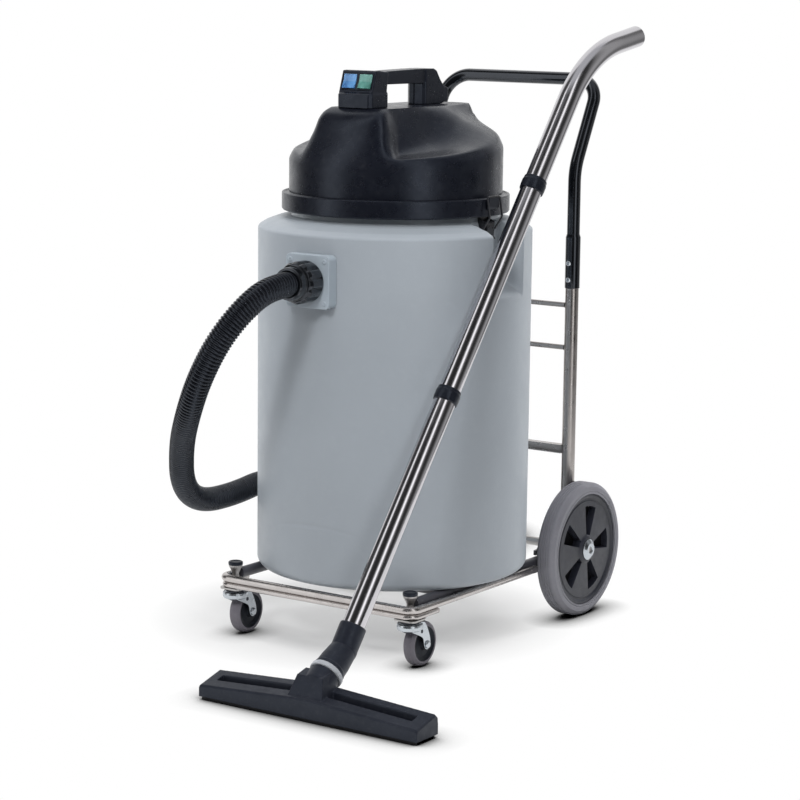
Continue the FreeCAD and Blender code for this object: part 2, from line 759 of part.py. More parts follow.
def coupling_nut():
    """Ridged nut over the spigot with a plain collar for the hose."""
    r = NUT_DIA / 2
    root = r - NUT_RIDGE_DEPTH
    step = 2 * math.pi / NUT_RIDGES
    edges = []
    for i in range(NUT_RIDGES):
        a = i * step
        marks = [(r, a - step * 0.3), (r, a + step * 0.3), (root, a + step * 0.36), (root, a + step * 0.64)]
        corner = [vec(q * math.cos(t), q * math.sin(t), 0) for q, t in marks]
        following = vec(r * math.cos(a + step * 0.7), r * math.sin(a + step * 0.7), 0)
        edges += [Part.LineSegment(corner[0], corner[1]), Part.LineSegment(corner[1], corner[2]),
                  Part.LineSegment(corner[2], corner[3]), Part.LineSegment(corner[3], following)]
    body = Part.Face(Part.Wire([e.toShape() for e in edges])).extrude(vec(0, 0, NUT_LENGTH))
    c = NUT_COLLAR_DIA / 2
    end = NUT_LENGTH + NUT_COLLAR_LENGTH
    collar = turned([(0, NUT_LENGTH - 2), (root - 1, NUT_LENGTH - 2), (root - 1, NUT_LENGTH + 3), (c, NUT_LENGTH + 6),
                     (c, end - 3), (c - 3, end), (0, end)])
    depth = FLANGE_FACE_Y - GAP - HOSE_START_Y
    bore = turned([(0, -1), (SPIGOT_DIA / 2 + SEAT, -1), (SPIGOT_DIA / 2 + SEAT, depth),
                   (HOSE_DIA / 2 + NUT_HOSE_ROOM, depth), (HOSE_DIA / 2 + NUT_HOSE_ROOM, end + 1), (0, end + 1)])
    solid = body.fuse(collar).cut(bore)
    solid.Placement = FreeCAD.Placement(vec(0, FLANGE_FACE_Y - GAP, INLET_Z), FreeCAD.Rotation(Z, Y * -1))
    return solid


# Hose

def coil_start():
    a = math.radians(COIL_START_ANGLE)
    spot = vec(COIL_X + COIL_START_RADIUS * math.cos(a), COIL_Y + COIL_START_RADIUS * math.sin(a), HOSE_DIA / 2)
    return spot, vec(-math.sin(a), math.cos(a), 0)


def hose_points():
    spot, heading = coil_start()
    points = [vec(0, HOSE_START_Y, INLET_Z)] + [vec(*p) for p in HOSE_ROUTE]
    return points + [spot - heading * COIL_RUN_IN, spot]


def hose_radii(points):
    radii = []
    for i in range(1, len(points) - 1):
        before = points[i] - points[i - 1]
        after = points[i + 1] - points[i]
        half = before.getAngle(after) / 2
        radii.append(0.45 * min(before.Length, after.Length) / math.tan(half))
    return radii


def place_on(pieces, distance):
    """Point and heading at a distance along a rounded path."""
    for kind, start, end, middle, length in pieces:
        if distance <= length or pieces[-1][2] == end:
            break
        distance -= length
    if kind == "line":
        heading = unit(end - start)
        return start + heading * distance, heading
    curve = Part.Arc(start, middle, end).toShape()
    at = curve.getParameterByLength(min(distance, curve.Length))
    return curve.valueAt(at), curve.tangentAt(at)


def ring_at(radius, spot, heading, side):
    """Circle across the path whose seam follows a steady side direction."""
    across = unit(side - heading * side.dot(heading))
    turn = FreeCAD.Rotation(across, heading.cross(across), heading, "ZXY")
    circle = Part.makeCircle(radius)
    circle.Placement = FreeCAD.Placement(spot, turn)
    return Part.Wire(circle), across


def lofted_hose(pieces, stations):
    """Ruled loft through circles given as (distance along the path, radius)."""
    side = X
    wires = []
    for distance, radius in stations:
        spot, heading = place_on(pieces, distance)
        wire, side = ring_at(radius, spot, heading, side)
        wires.append(wire)
    return Part.makeLoft(wires, True, True)


def hose_run():
    """Ribbed hose from the nut to the coil, a ruled loft with four circles to a rib."""
    points = hose_points()
    radii = hose_radii(points)
    print("hose arc radii", [round(r) for r in radii])
    pieces = path_pieces(points, radii)
    total = sum(p[4] for p in pieces)
    crest = HOSE_DIA / 2
    trough = crest - HOSE_RIB_DEPTH
    pitch = (total - 2 * HOSE_DIA) / HOSE_RIBS
    stations = [(0.0, crest)]
    for i in range(HOSE_RIBS):
        base = HOSE_DIA + i * pitch
        for part, radius in ((0.1, crest), (0.3, trough), (0.7, trough), (0.9, crest)):
            stations.append((base + part * pitch, radius))
    stations.append((total, crest))
    outer = lofted_hose(pieces, stations)
    bore = lofted_hose(pieces, [(distance, HOSE_BORE / 2) for distance, radius in stations[::4]] + [(total, HOSE_BORE / 2)])
    print("hose run length", round(total), "least gap to itself", round(least_gap(pieces, total) - HOSE_DIA))
    return outer.cut(bore)


def least_gap(pieces, total):
    """Smallest distance between centre line points that lie well apart along the hose."""
    step = 15.0
    spots = [place_on(pieces, i * step)[0] for i in range(int(total / step) + 1)]
    apart = int(4 * HOSE_DIA / step)
    return min((spots[i] - spots[j]).Length for i in range(len(spots)) for j in range(i + apart, len(spots)))


def coil_arcs():
    """Flat spiral of quarter turns, each a step smaller than the last."""
    spot, heading = coil_start()
    radius = COIL_START_RADIUS
    angle = math.radians(COIL_START_ANGLE)
    centre = vec(COIL_X, COIL_Y, HOSE_DIA / 2)
    arcs = []
    for i in range(COIL_QUARTERS):
        ends = [centre + vec(math.cos(angle + t), math.sin(angle + t), 0) * radius
                for t in (0, math.pi / 4, math.pi / 2)]
        arcs.append(Part.Arc(*ends))
        angle += math.pi / 2
        centre = centre + vec(math.cos(angle), math.sin(angle), 0) * COIL_STEP
        radius -= COIL_STEP
    return arcs, ends[2], vec(-math.sin(angle), math.cos(angle), 0)


def hose_coil():
    """The stored loop, one unbroken tube that ends straight for its cuff."""
    spot, heading = coil_start()
    arcs, end, leaving = coil_arcs()
    arcs.append(Part.LineSegment(end, end + leaving * HOSE_DIA))
    return swept(HOSE_DIA, Part.Wire([a.toShape() for a in arcs]), spot, heading)


def hose_cuff():
    """Hand cuff on the far end, stepped down to the size of the wand."""
    arcs, end, heading = coil_arcs()
    r = CUFF_DIA / 2
    profile = [(HOSE_BORE / 2, 0), (r, 0), (r, 32), (r - 3, 36), (r - 3, CUFF_LENGTH), (HOSE_BORE / 2, CUFF_LENGTH)]
    base = end + heading * (HOSE_DIA + GAP) + Z * (CUFF_DIA - HOSE_DIA) / 2
    return turned(profile, base, heading)


# Head

def blend(low, high, value):
    """Smooth step from 0 to 1."""
    t = max(0.0, min(1.0, (value - low) / (high - low)))
    return t * t * (3 - 2 * t)


def spine_radius(angle):
    """Distance from the axis to the edge of the flat spine, a rounded rectangle in plan."""
    reach = SPINE_FRONT if math.cos(angle) > 0 else SPINE_REAR
    power = 7
    across = abs(math.sin(angle) / SPINE_HALF) ** power
    along = abs(math.cos(angle) / reach) ** power
    return (across + along) ** (-1 / power)


# Height above the dome edge at fractions of the way out, for the nose, the side scoops and the tail
HEAD_LEVELS = (
    (0.00, 1.00, 1.00, 1.00),
    (0.05, 0.99, 0.86, 0.97),
    (0.12, 0.97, 0.66, 0.90),
    (0.25, 0.92, 0.41, 0.79),
    (0.42, 0.83, 0.22, 0.63),
    (0.60, 0.70, 0.165, 0.50),
    (0.77, 0.52, 0.16, 0.39),
    (0.92, 0.27, 0.18, 0.25),
    (1.00, 0.00, 0.00, 0.02),
)


def head_section(out, nose, scoop, tail, points=32):
    """One closed contour of the head, from the spine edge (0) to the dome wall (1)."""
    spots = []
    for i in range(points):
        a = 2 * math.pi * i / points
        turn = abs(math.degrees(math.atan2(math.sin(a), math.cos(a))))
        front = 1 - blend(NOSE_HALF_ANGLE - 4, NOSE_HALF_ANGLE + 10, turn)
        rear = blend(125, 150, turn)
        share = nose * front + tail * rear + scoop * (1 - front - rear)
        edge = spine_radius(a)
        r = edge + (DOME_DIA / 2 - edge) * out
        y = -r * math.cos(a)
        tilt = DOME_TILT * y * min(1.0, out * 2)
        z = DOME_EDGE_Z + (PLATEAU_Z - DOME_EDGE_Z) * share + tilt
        spots.append(vec(r * math.sin(a), y, z if out > 0 else PLATEAU_Z))
    curve = Part.BSplineCurve()
    curve.interpolate(Points=spots, PeriodicFlag=True)
    return Part.Wire(curve.toShape())


def head_dome():
    """Moulded dome: a flat spine with scooped sides, lofted down to a round wall."""
    wires = [head_section(*level) for level in HEAD_LEVELS]
    upper = Part.makeLoft(wires, False, True)
    wall = Part.makeLoft([wires[-1], dome_circle(NECK_TOP + LIP_HEIGHT - 4)], False, True)
    caps = [Part.Face(wires[0]), Part.Face(dome_circle(NECK_TOP + LIP_HEIGHT - 4))]
    shell = Part.makeShell(upper.Faces + wall.Faces + caps)
    solid = Part.makeSolid(shell)
    if solid.Volume < 0:
        solid.reverse()
    return solid


def dome_circle(z, points=32):
    curve = Part.BSplineCurve()
    r = DOME_DIA / 2
    curve.interpolate(Points=[vec(r * math.sin(2 * math.pi * i / points), -r * math.cos(2 * math.pi * i / points), z)
                              for i in range(points)], PeriodicFlag=True)
    return Part.Wire(curve.toShape())


def lip_foot():
    return NECK_TOP + GAP


def head_cover():
    """Black cover: lip ring over the drum neck, dome, and the hollow that holds the motors."""
    r = LIP_DIA / 2
    top = NECK_TOP + LIP_HEIGHT
    lip = turned([(0, lip_foot()), (r - 1.5, lip_foot()), (r, lip_foot() + 1.5), (r, top - 4), (r - 4, top), (0, top)])
    solid = fused(lip, head_dome())
    inner = DOME_DIA / 2 - HEAD_WALL - 3
    plate_seat = lip_foot() + SEAL_HEIGHT + MOTOR_PLATE_THICK
    hollow = turned([(0, lip_foot() - 1), (inner, lip_foot() - 1), (inner, plate_seat), (inner - 6, plate_seat),
                     (inner - 6, DOME_EDGE_Z - 26), (inner - 22, DOME_EDGE_Z - 14), (0, DOME_EDGE_Z - 14)])
    spine = block(-SPINE_HALF + 14, SPINE_HALF - 14, -SPINE_FRONT + 14, SPINE_REAR - 14,
                  DOME_EDGE_Z - 20, PLATEAU_Z - HEAD_WALL)
    return solid.cut(fused(hollow, spine))


def lid_seal():
    """Rubber ring clamped between the drum neck and the lid."""
    outer = DOME_DIA / 2 - HEAD_WALL - 3 - GAP
    inner = outer - SEAL_WIDTH
    low = lip_foot()
    return turned([(inner, low), (outer, low), (outer, low + SEAL_HEIGHT - GAP), (inner, low + SEAL_HEIGHT - GAP)])


def motor_places():
    return (vec(0, -MOTOR_SPACING / 2, 0), vec(0, MOTOR_SPACING / 2, 0))


def motor_plate_low():
    return lip_foot() + SEAL_HEIGHT


def motor_plate():
    """Bulkhead that carries both motors, with a suction hole under each."""
    r = DOME_DIA / 2 - HEAD_WALL - 3 - GAP
    low = motor_plate_low()
    disc = rod(2 * r, vec(0, 0, low), vec(0, 0, low + MOTOR_PLATE_THICK - GAP))
    for spot in motor_places():
        disc = disc.cut(rod(36, spot + Z * (low - 1), spot + Z * (low + MOTOR_PLATE_THICK + 1)))
    return disc


def motor_base():
    return motor_plate_low() + MOTOR_PLATE_THICK


def motor_housings():
    """Bypass motors: a wide fan chamber below a narrower armature case."""
    r, t, w = MOTOR_DIA / 2, MOTOR_TOP_DIA / 2, MOTOR_WALL
    low = motor_base()
    mid = low + MOTOR_FAN_HEIGHT
    top = low + MOTOR_HEIGHT
    profile = [
        (18, low), (r, low), (r, mid), (t, mid), (t, top), (SHAFT_DIA / 2 + 4, top), (SHAFT_DIA / 2 + 4, top - w),
        (t - w, top - w), (t - w, mid - w), (r - w, mid - w), (r - w, low + w), (18, low + w),
    ]
    return Part.makeCompound([turned(profile, spot) for spot in motor_places()])


def rotor(index):
    """Shaft, armature and a bladed fan."""
    low = motor_base() + MOTOR_WALL + 5
    top = motor_base() + MOTOR_HEIGHT - 8
    shaft = turned([(0, low), (SHAFT_DIA / 2, low), (SHAFT_DIA / 2, top + 6), (0, top + 6)])
    armature = turned([(0, top - 58), (24, top - 58), (24, top - 14), (0, top - 14)])
    r = FAN_DIA / 2
    disc = turned([(0, low + FAN_HEIGHT), (r, low + FAN_HEIGHT), (r, low + FAN_HEIGHT + 2), (0, low + FAN_HEIGHT + 2)])
    solid = shaft.fuse([armature, disc])
    blade = block(14, r, -1, 1, low + 2, low + FAN_HEIGHT + 1)
    for i in range(FAN_BLADES):
        turnedblade = blade.copy()
        turnedblade.rotate(vec(0, 0, 0), Z, i * 360 / FAN_BLADES)
        solid = solid.fuse(turnedblade)
    solid = solid.removeSplitter()
    solid.translate(motor_places()[index])
    return solid


def float_cage():
    """Dish under the bulkhead, ring of bars and a foot plate that traps the float."""
    top = motor_plate_low() - GAP
    dish_r = MOTOR_SPACING / 2 + 24
    dish_low = top - CAGE_DISH
    port = CAGE_PORT_DIA / 2
    dish = turned([(port, dish_low), (dish_r, dish_low), (dish_r, top), (dish_r - 3, top), (dish_r - 3, dish_low + 3),
                   (port, dish_low + 3)])
    r = CAGE_DIA / 2
    foot = dish_low - CAGE_HEIGHT
    base = turned([(0, foot), (r, foot), (r, foot + 4), (0, foot + 4)])
    solid = dish
    for i in range(CAGE_BARS):
        a = 2 * math.pi * (i + 0.5) / CAGE_BARS
        spot = vec((r - CAGE_BAR_DIA) * math.cos(a), (r - CAGE_BAR_DIA) * math.sin(a), 0)
        solid = solid.fuse(rod(CAGE_BAR_DIA, spot + Z * (foot + 2), spot + Z * (dish_low + 1)))
    return solid.fuse(base).removeSplitter()


def float_body():
    """Domed float that lifts and closes the suction port when the drum is full."""
    foot = motor_plate_low() - GAP - CAGE_DISH - CAGE_HEIGHT + 4 + GAP
    r = FLOAT_DIA / 2
    h = FLOAT_HEIGHT
    return turned([(0, foot), (r - 4, foot), (r, foot + 4), (r, foot + h * 0.55), (r * 0.82, foot + h * 0.82),
                   (r * 0.45, foot + h), (0, foot + h)])


# Carry handle, switches and gland

def handle_outline():
    """Side view of the housing, as (y, z) corners."""
    lean = PANEL_LEAN
    return [
        (BOX_FRONT, PLATEAU_Z), (BOX_FRONT, BOX_TOP), (BOX_FRONT + 8, BOX_TOP), (BOX_FRONT + 8 + lean, PANEL_TOP),
        (BOX_FRONT + 40 + lean, PANEL_TOP - 3), (GRIP_BACK - 66, PANEL_TOP + 1), (GRIP_BACK, PANEL_TOP),
        (GRIP_BACK + 14, PANEL_TOP - 14), (GRIP_BACK + 26, BLOCK_STEP_Z), (BLOCK_BACK, BLOCK_STEP_Z),
        (BLOCK_BACK, PLATEAU_Z + 10), (BLOCK_BACK - 8, PLATEAU_Z),
    ]


def carry_handle():
    """Grip from front to back: switch box, finger window and rear cable block."""
    half = GRIP_WIDTH / 2
    body = plate([vec(-half, y, z + GAP) for y, z in handle_outline()], vec(2 * half, 0, 0))
    foot = PLATEAU_Z + GAP
    box = block(-BOX_WIDTH / 2, BOX_WIDTH / 2, BOX_FRONT, BOX_BACK, foot, BOX_TOP)
    lean = PANEL_LEAN
    back = BOX_BACK + 4
    head = plate([
        vec(-PANEL_WIDTH / 2, BOX_FRONT + 8, BOX_TOP - 2), vec(-PANEL_WIDTH / 2, BOX_FRONT + 8 + lean, PANEL_TOP),
        vec(-PANEL_WIDTH / 2, back, PANEL_TOP - 3), vec(-PANEL_WIDTH / 2, back - 4, BOX_TOP - 2),
    ], vec(PANEL_WIDTH, 0, 0))
    rear = block(-BLOCK_WIDTH / 2, BLOCK_WIDTH / 2, BLOCK_FRONT, BLOCK_BACK, foot, BLOCK_STEP_Z - 1)
    solid = fused(body, box, head, rear)
    window = plate([
        vec(-BOX_WIDTH, BOX_BACK, foot - 1), vec(-BOX_WIDTH, BOX_BACK, BOX_TOP),
        vec(-BOX_WIDTH, BOX_BACK + 8, GRIP_UNDERSIDE), vec(-BOX_WIDTH, BLOCK_FRONT, GRIP_UNDERSIDE),
        vec(-BOX_WIDTH, BLOCK_FRONT, foot - 1),
    ], vec(2 * BOX_WIDTH, 0, 0))
    solid = solid.cut(window)
    solid = rounded(solid, 5.0, lambda p: abs(abs(p.x) - half) < 0.01 and p.z > GRIP_UNDERSIDE + 12
                    and BOX_BACK + 10 < p.y < GRIP_BACK - 5)
    return solid.cut(switch_pocket(GAP))


def panel_frame():
    """Origin and upward direction of the leaning switch panel face."""
    low = vec(0, BOX_FRONT + 8, BOX_TOP)
    high = vec(0, BOX_FRONT + 8 + PANEL_LEAN, PANEL_TOP)
    return low, unit(high - low), (high - low).Length


def panel_block(width, height, depth, rise, forward=0.0, x=0.0):
    """Box on the leaning face: width across, height up the face, depth into it."""
    low, up, length = panel_frame()
    inward = up.cross(X) * -1
    if inward.y < 0:
        inward = inward * -1
    base = low + up * rise - inward * forward + X * (x - width / 2)
    corners = [base, base + X * width, base + X * width + up * height, base + up * height]
    return plate(corners, inward * (depth + forward))


def panel_rise():
    low, up, length = panel_frame()
    return (length - ROCKER_HEIGHT) / 2


def switch_pocket(grow):
    width = ROCKER_PITCH + ROCKER_WIDTH + 2 * grow
    return panel_block(width, ROCKER_HEIGHT + 2 * grow, ROCKER_DEPTH + 6, panel_rise() - grow, 1.0)


def switch_panel():
    """Carrier behind the rockers, with a pocket for each and a bar between."""
    solid = panel_block(ROCKER_PITCH + ROCKER_WIDTH, ROCKER_HEIGHT, ROCKER_DEPTH + 5.5, panel_rise())
    for x in (-ROCKER_PITCH / 2, ROCKER_PITCH / 2):
        solid = solid.cut(panel_block(ROCKER_WIDTH - 2, ROCKER_HEIGHT - 3, ROCKER_DEPTH + 3, panel_rise() + 1.5, 1.0, x))
        reach = X * (ROCKER_WIDTH / 2 + GAP)
        solid = solid.cut(rod(ROCKER_PIN_DIA + 2 * SEAT, rocker_pivot() + X * x - reach, rocker_pivot() + X * x + reach))
    return solid


def rocker_pivot():
    low, up, length = panel_frame()
    inward = vec(0, up.z, -up.y)
    return low + up * (length / 2) + inward * ROCKER_PIN_DEPTH


def rocker(x):
    """Rocker with a shallow V face, hung on two pins in its carrier."""
    low, up, length = panel_frame()
    inward = vec(0, up.z, -up.y)
    half = ROCKER_HEIGHT / 2 - 2.4
    width = ROCKER_WIDTH - 2 * ROCKER_ROOM
    centre = rocker_pivot() + X * (x - width / 2)
    outline = [
        centre - up * half - inward * 7.0, centre - inward * 4.6, centre + up * half - inward * 5.4,
        centre + up * half + inward * 1.0, centre + inward * 6.6, centre - up * half + inward * 1.0,
    ]
    reach = X * (ROCKER_WIDTH / 2 - GAP)
    pin = rod(ROCKER_PIN_DIA, rocker_pivot() + X * x - reach, rocker_pivot() + X * x + reach)
    return plate(outline, X * width).fuse(pin)


def cable_gland():
    """Tapered strain relief in the back of the rear block, open for a cable."""
    r = GLAND_DIA / 2
    b = GLAND_BORE / 2
    profile = [(b, 0), (r, 0), (r, 5), (r - 2.5, 5), (r - 2.5, GLAND_LENGTH), (b, GLAND_LENGTH)]
    return turned(profile, vec(0, BLOCK_BACK + GAP, BLOCK_STEP_Z - 17), Y)


# Lid clamps

def clamp_bases():
    """Riveted base plates on the drum neck with two ears for the lever pin."""
    parts = []
    for name, s in SIDES:
        back = NECK_DIA / 2 + GAP
        half = CLAMP_WIDTH / 2
        low, high = DRUM_SHOULDER + 1.0, NECK_TOP - 2
        outer = back + CLAMP_SHEET
        base = block(min(s * back, s * outer), max(s * back, s * outer), -half, half, low, high)
        solid = base
        for e in (-1, 1):
            y0 = e * (half - CLAMP_SHEET)
            ear = plate([
                vec(s * (outer - 1), y0, low), vec(s * (outer - 1), y0, high - 4),
                vec(s * (CLAMP_PIVOT_OUT + 4), y0, CLAMP_PIVOT_Z + 4), vec(s * (CLAMP_PIVOT_OUT + 4), y0, CLAMP_PIVOT_Z - 4),
            ], vec(0, e * CLAMP_SHEET, 0))
            solid = solid.fuse(ear)
        pin = rod(CLAMP_PIN_DIA, vec(s * CLAMP_PIVOT_OUT, -half, CLAMP_PIVOT_Z), vec(s * CLAMP_PIVOT_OUT, half, CLAMP_PIVOT_Z))
        parts.append(fused(solid, pin))
    return Part.makeCompound(parts)


def clamp_lever(s):
    """Short lever that hangs down over its base when closed."""
    half = LEVER_WIDTH / 2
    out = CLAMP_PIVOT_OUT
    z = CLAMP_PIVOT_Z
    outline = [
        (out - 4, z + 3), (out, z + 5), (out + 5, z + 3), (out + 6, z - 8), (out + 5, z - LEVER_REACH + 6),
        (out + 9, z - LEVER_REACH), (out + 6, z - LEVER_REACH - 1), (out + 2, z - LEVER_REACH + 6), (out - 4, z - 8),
    ]
    solid = plate([vec(s * q, -half, h) for q, h in outline], vec(0, 2 * half, 0))
    holes = [
        rod(diameter + 2 * SEAT, vec(s * q, -half - 1, h), vec(s * q, half + 1, h))
        for diameter, q, h in ((CLAMP_PIN_DIA, out, z), (BAIL_WIRE, out + 1, BAIL_PIVOT_Z))
    ]
    return solid.cut(holes[0]).cut(holes[1])


def bail(s, e):
    """Half of the wire loop: from the hole in the lever, up past the lip and over the keeper."""
    out = CLAMP_PIVOT_OUT + 1
    top = KEEPER_TOP + BAIL_WIRE / 2 + SEAT
    reach = (LIP_DIA / 2 + KEEPER_OUT) / 2 + 1
    points = [
        vec(s * out, e * BAIL_TIP, BAIL_PIVOT_Z), vec(s * out, e * BAIL_HALF, BAIL_PIVOT_Z),
        vec(s * (KEEPER_OUT + 4), e * BAIL_HALF, BAIL_PIVOT_Z + 22), vec(s * reach, e * BAIL_HALF, top),
        vec(s * reach, 0, top),
    ]
    return mitred(BAIL_WIRE, Part.makePolygon(points))


def wire_bail(s):
    return fused(bail(s, -1), bail(s, 1))


def clamp_keepers():
    """Catch blocks on the lip ring that the bails hook over."""
    half = KEEPER_WIDTH / 2
    parts = []
    for name, s in SIDES:
        inner = LIP_DIA / 2 - 6
        outline = [(inner, lip_foot() + 8), (KEEPER_OUT - 2, lip_foot() + 8), (KEEPER_OUT, lip_foot() + 12),
                   (KEEPER_OUT, KEEPER_TOP - 1), (KEEPER_OUT - 1.5, KEEPER_TOP), (inner, KEEPER_TOP)]
        solid = plate([vec(s * q, -half, h) for q, h in outline], vec(0, 2 * half, 0))
        parts.append(solid.cut(rod(LIP_DIA + 2 * GAP, vec(0, 0, lip_foot() - 5), vec(0, 0, KEEPER_TOP + 5))))
    return Part.makeCompound(parts)


# Wand and floor tool

def wand_axis():
    foot = vec(*WAND_FOOT)
    return foot, unit(vec(*WAND_SHOULDER) - foot)


def wand_tube(start, length):
    foot, heading = wand_axis()
    return tube(WAND_DIA, WAND_DIA - 2 * WAND_WALL, foot + heading * start, foot + heading * (start + length))


def lower_start():
    return ELBOW_CUFF_LENGTH - ELBOW_REACH - 30


def wand_lower():
    return wand_tube(lower_start(), WAND_LOWER_LENGTH - lower_start() - GAP)


def wand_upper():
    return wand_tube(WAND_LOWER_LENGTH, WAND_UPPER_LENGTH - GAP)


def bend_start():
    return WAND_LOWER_LENGTH + WAND_UPPER_LENGTH


def wand_bend():
    """Upper tube that bows back towards the user, open at its top end."""
    foot, heading = wand_axis()
    start = foot + heading * bend_start()
    knee_back = BEND_RADIUS * math.tan(math.radians(BEND_ANGLE) / 2)
    knee = start + heading * (BEND_STRAIGHT + knee_back)
    level = unit(vec(heading.x, heading.y, 0))
    climb = math.asin(heading.z) - math.radians(BEND_ANGLE)
    leaving = level * math.cos(climb) + Z * math.sin(climb)
    end = knee + leaving * (knee_back + BEND_TAIL)
    outer = bent_rod(WAND_DIA, [start, knee, end], [BEND_RADIUS])
    inner = bent_rod(WAND_DIA - 2 * WAND_WALL, [start - heading, knee, end + leaving], [BEND_RADIUS])
    return outer.cut(inner)


def wand_collars():
    """Black locking collars over the two joints."""
    foot, heading = wand_axis()
    r = WAND_COLLAR_DIA / 2
    b = WAND_DIA / 2 + SEAT
    h = WAND_COLLAR_LENGTH
    profile = [(b, 0), (r - 1, 0), (r, 2), (r, h - 2), (r - 1, h), (b, h)]
    spots = [foot + heading * (d - h / 2) for d in (WAND_LOWER_LENGTH, bend_start())]
    return Part.makeCompound([turned(profile, spot, heading) for spot in spots])


def neck_heading():
    a = math.radians(NECK_ANGLE)
    return vec(0, math.cos(a), math.sin(a))


def elbow_knee():
    foot, heading = wand_axis()
    return foot - heading * ELBOW_REACH


def ring_middle():
    return elbow_knee() - neck_heading() * RING_OFFSET


def tool_elbow():
    """Bent cuff that turns on the tool neck and holds the wand."""
    foot, heading = wand_axis()
    knee = elbow_knee()
    neck = neck_heading()
    low = ring_middle() + neck * (RING_LENGTH / 2 + GAP)
    r = ELBOW_DIA / 2
    run = (knee - low).Length
    lower = turned([(0, 0), (r + 1, 0), (r + 1, 6), (r, 8), (r, run * 0.7), (r - 4, run + 4), (0, run + 4)], low, neck)
    knuckle = Part.makeSphere(ELBOW_CUFF_DIA / 2 + 0.5, knee)
    cuff = rod(ELBOW_CUFF_DIA, knee, knee + heading * ELBOW_CUFF_LENGTH)
    solid = fused(lower, knuckle, cuff)
    seat = (foot + heading * lower_start() - knee).Length
    solid = solid.cut(rod(WAND_DIA + 2 * SEAT, knee + heading * (seat - GAP), knee + heading * (ELBOW_CUFF_LENGTH + 1)))
    bore = WAND_DIA - 2 * WAND_WALL
    solid = solid.cut(rod(bore, knee, knee + heading * ELBOW_CUFF_LENGTH))
    return solid.cut(rod(NECK_BORE_DIA, low - neck, knee)).cut(Part.makeSphere(bore / 2, knee))


def swivel_ring():
    """Grey ring between neck and elbow."""
    r = RING_DIA / 2
    h = RING_LENGTH
    b = NECK_BORE_DIA / 2
    profile = [(b, 0), (r - 1.5, 0), (r, 1.5), (r, h - 1.5), (r - 1.5, h), (b, h)]
    return turned(profile, ring_middle() - neck_heading() * (h / 2), neck_heading())


def tool_section(x, rise):
    """Cross section of the floor tool at one place along its length."""
    front, back = TOOL_FRONT_Y, TOOL_FRONT_Y + TOOL_DEPTH
    low = TOOL_SKIRT
    outline = [
        (front + 1, low), (front, low + 6), (front + 2, TOOL_FRONT_HEIGHT + rise), (back - 6, TOOL_BACK_HEIGHT + rise),
        (back - 1, TOOL_BACK_HEIGHT + rise - 5), (back, low),
    ]
    return Part.makePolygon([vec(x, y, z) for y, z in outline + outline[:1]])


def tool_centre():
    return elbow_knee().x


def tool_roof(x, y):
    """Height of the sloping top at a place on the tool."""
    along = 1 - abs(x - tool_centre()) / (TOOL_LENGTH / 2)
    across = (y - TOOL_FRONT_Y - 2) / (TOOL_DEPTH - 8)
    return TOOL_FRONT_HEIGHT + TOOL_ROOF_RISE * along + (TOOL_BACK_HEIGHT - TOOL_FRONT_HEIGHT) * across


def tool_slot(e):
    """Sunk slot that follows the slope of one wing."""
    y0 = TOOL_FRONT_Y + TOOL_DEPTH / 2 - TOOL_SLOT_WIDTH / 2
    start = tool_centre() + e * (TOOL_SADDLE_WIDTH / 2 + 5)
    end = start + e * TOOL_SLOT_LENGTH
    outline = [
        vec(start, y0, tool_roof(start, y0) - TOOL_SLOT_DEPTH), vec(end, y0, tool_roof(end, y0) - TOOL_SLOT_DEPTH),
        vec(end, y0, TOOL_BACK_HEIGHT + 40), vec(start, y0, TOOL_BACK_HEIGHT + 40),
    ]
    return plate(outline, vec(0, TOOL_SLOT_WIDTH, 0))


def tool_body():
    """Wide floor tool: roofed wings, hollow underneath, two sunk slots, saddle and neck."""
    half = TOOL_LENGTH / 2
    middle = tool_centre()
    left = middle - half
    front, back = TOOL_FRONT_Y, TOOL_FRONT_Y + TOOL_DEPTH
    sections = [
        tool_section(left, 0), tool_section(middle, TOOL_ROOF_RISE), tool_section(middle + half, 0)
    ]
    wings = Part.makeLoft(sections, True, True)
    neck = neck_heading()
    ring = ring_middle() - neck * (RING_LENGTH / 2 + GAP)
    stem = rod(NECK_OUTER_DIA, ring - neck * 50, ring)
    across = TOOL_SADDLE_WIDTH / 2
    saddle = plate([
        vec(middle - across, front + 3, TOOL_SKIRT + 8), vec(middle - across, front + 5, TOOL_FRONT_HEIGHT + 15),
        vec(middle - across, back - 26, TOOL_BACK_HEIGHT + 22), vec(middle - across, back - 4, TOOL_BACK_HEIGHT + 18),
        vec(middle - across, back, TOOL_SKIRT + 8),
    ], vec(TOOL_SADDLE_WIDTH, 0, 0))
    solid = fused(wings, saddle, stem)
    solid = solid.cut(block(left - 1, middle + half + 1, front - 30, back + 30, -60, TOOL_SKIRT))
    w = TOOL_WALL + BLADE_THICK
    solid = solid.cut(block(left + 6, middle + half - 6, front + w, back - w, TOOL_SKIRT - 1,
                            TOOL_FRONT_HEIGHT - TOOL_WALL - TOOL_SLOT_DEPTH + 3))
    for e in (-1, 1):
        solid = solid.cut(tool_slot(e))
    for y in (front + TOOL_WALL, back - TOOL_WALL - BLADE_THICK):
        solid = solid.cut(block(left + 4, middle + half - 4, y - SEAT, y + BLADE_THICK + SEAT, 0, BLADE_HEIGHT + SEAT))
    return solid.cut(rod(NECK_BORE_DIA, ring - neck * 52, ring + neck))


def tool_blades():
    """Front and rear rubber blades that touch the floor."""
    left = tool_centre() - TOOL_LENGTH / 2
    front, back = TOOL_FRONT_Y, TOOL_FRONT_Y + TOOL_DEPTH
    return Part.makeCompound([
        block(left + 4 + SEAT, left + TOOL_LENGTH - 4 - SEAT, y, y + BLADE_THICK, 0, BLADE_HEIGHT)
        for y in (front + TOOL_WALL, back - TOOL_WALL - BLADE_THICK)
    ])


# Assembly

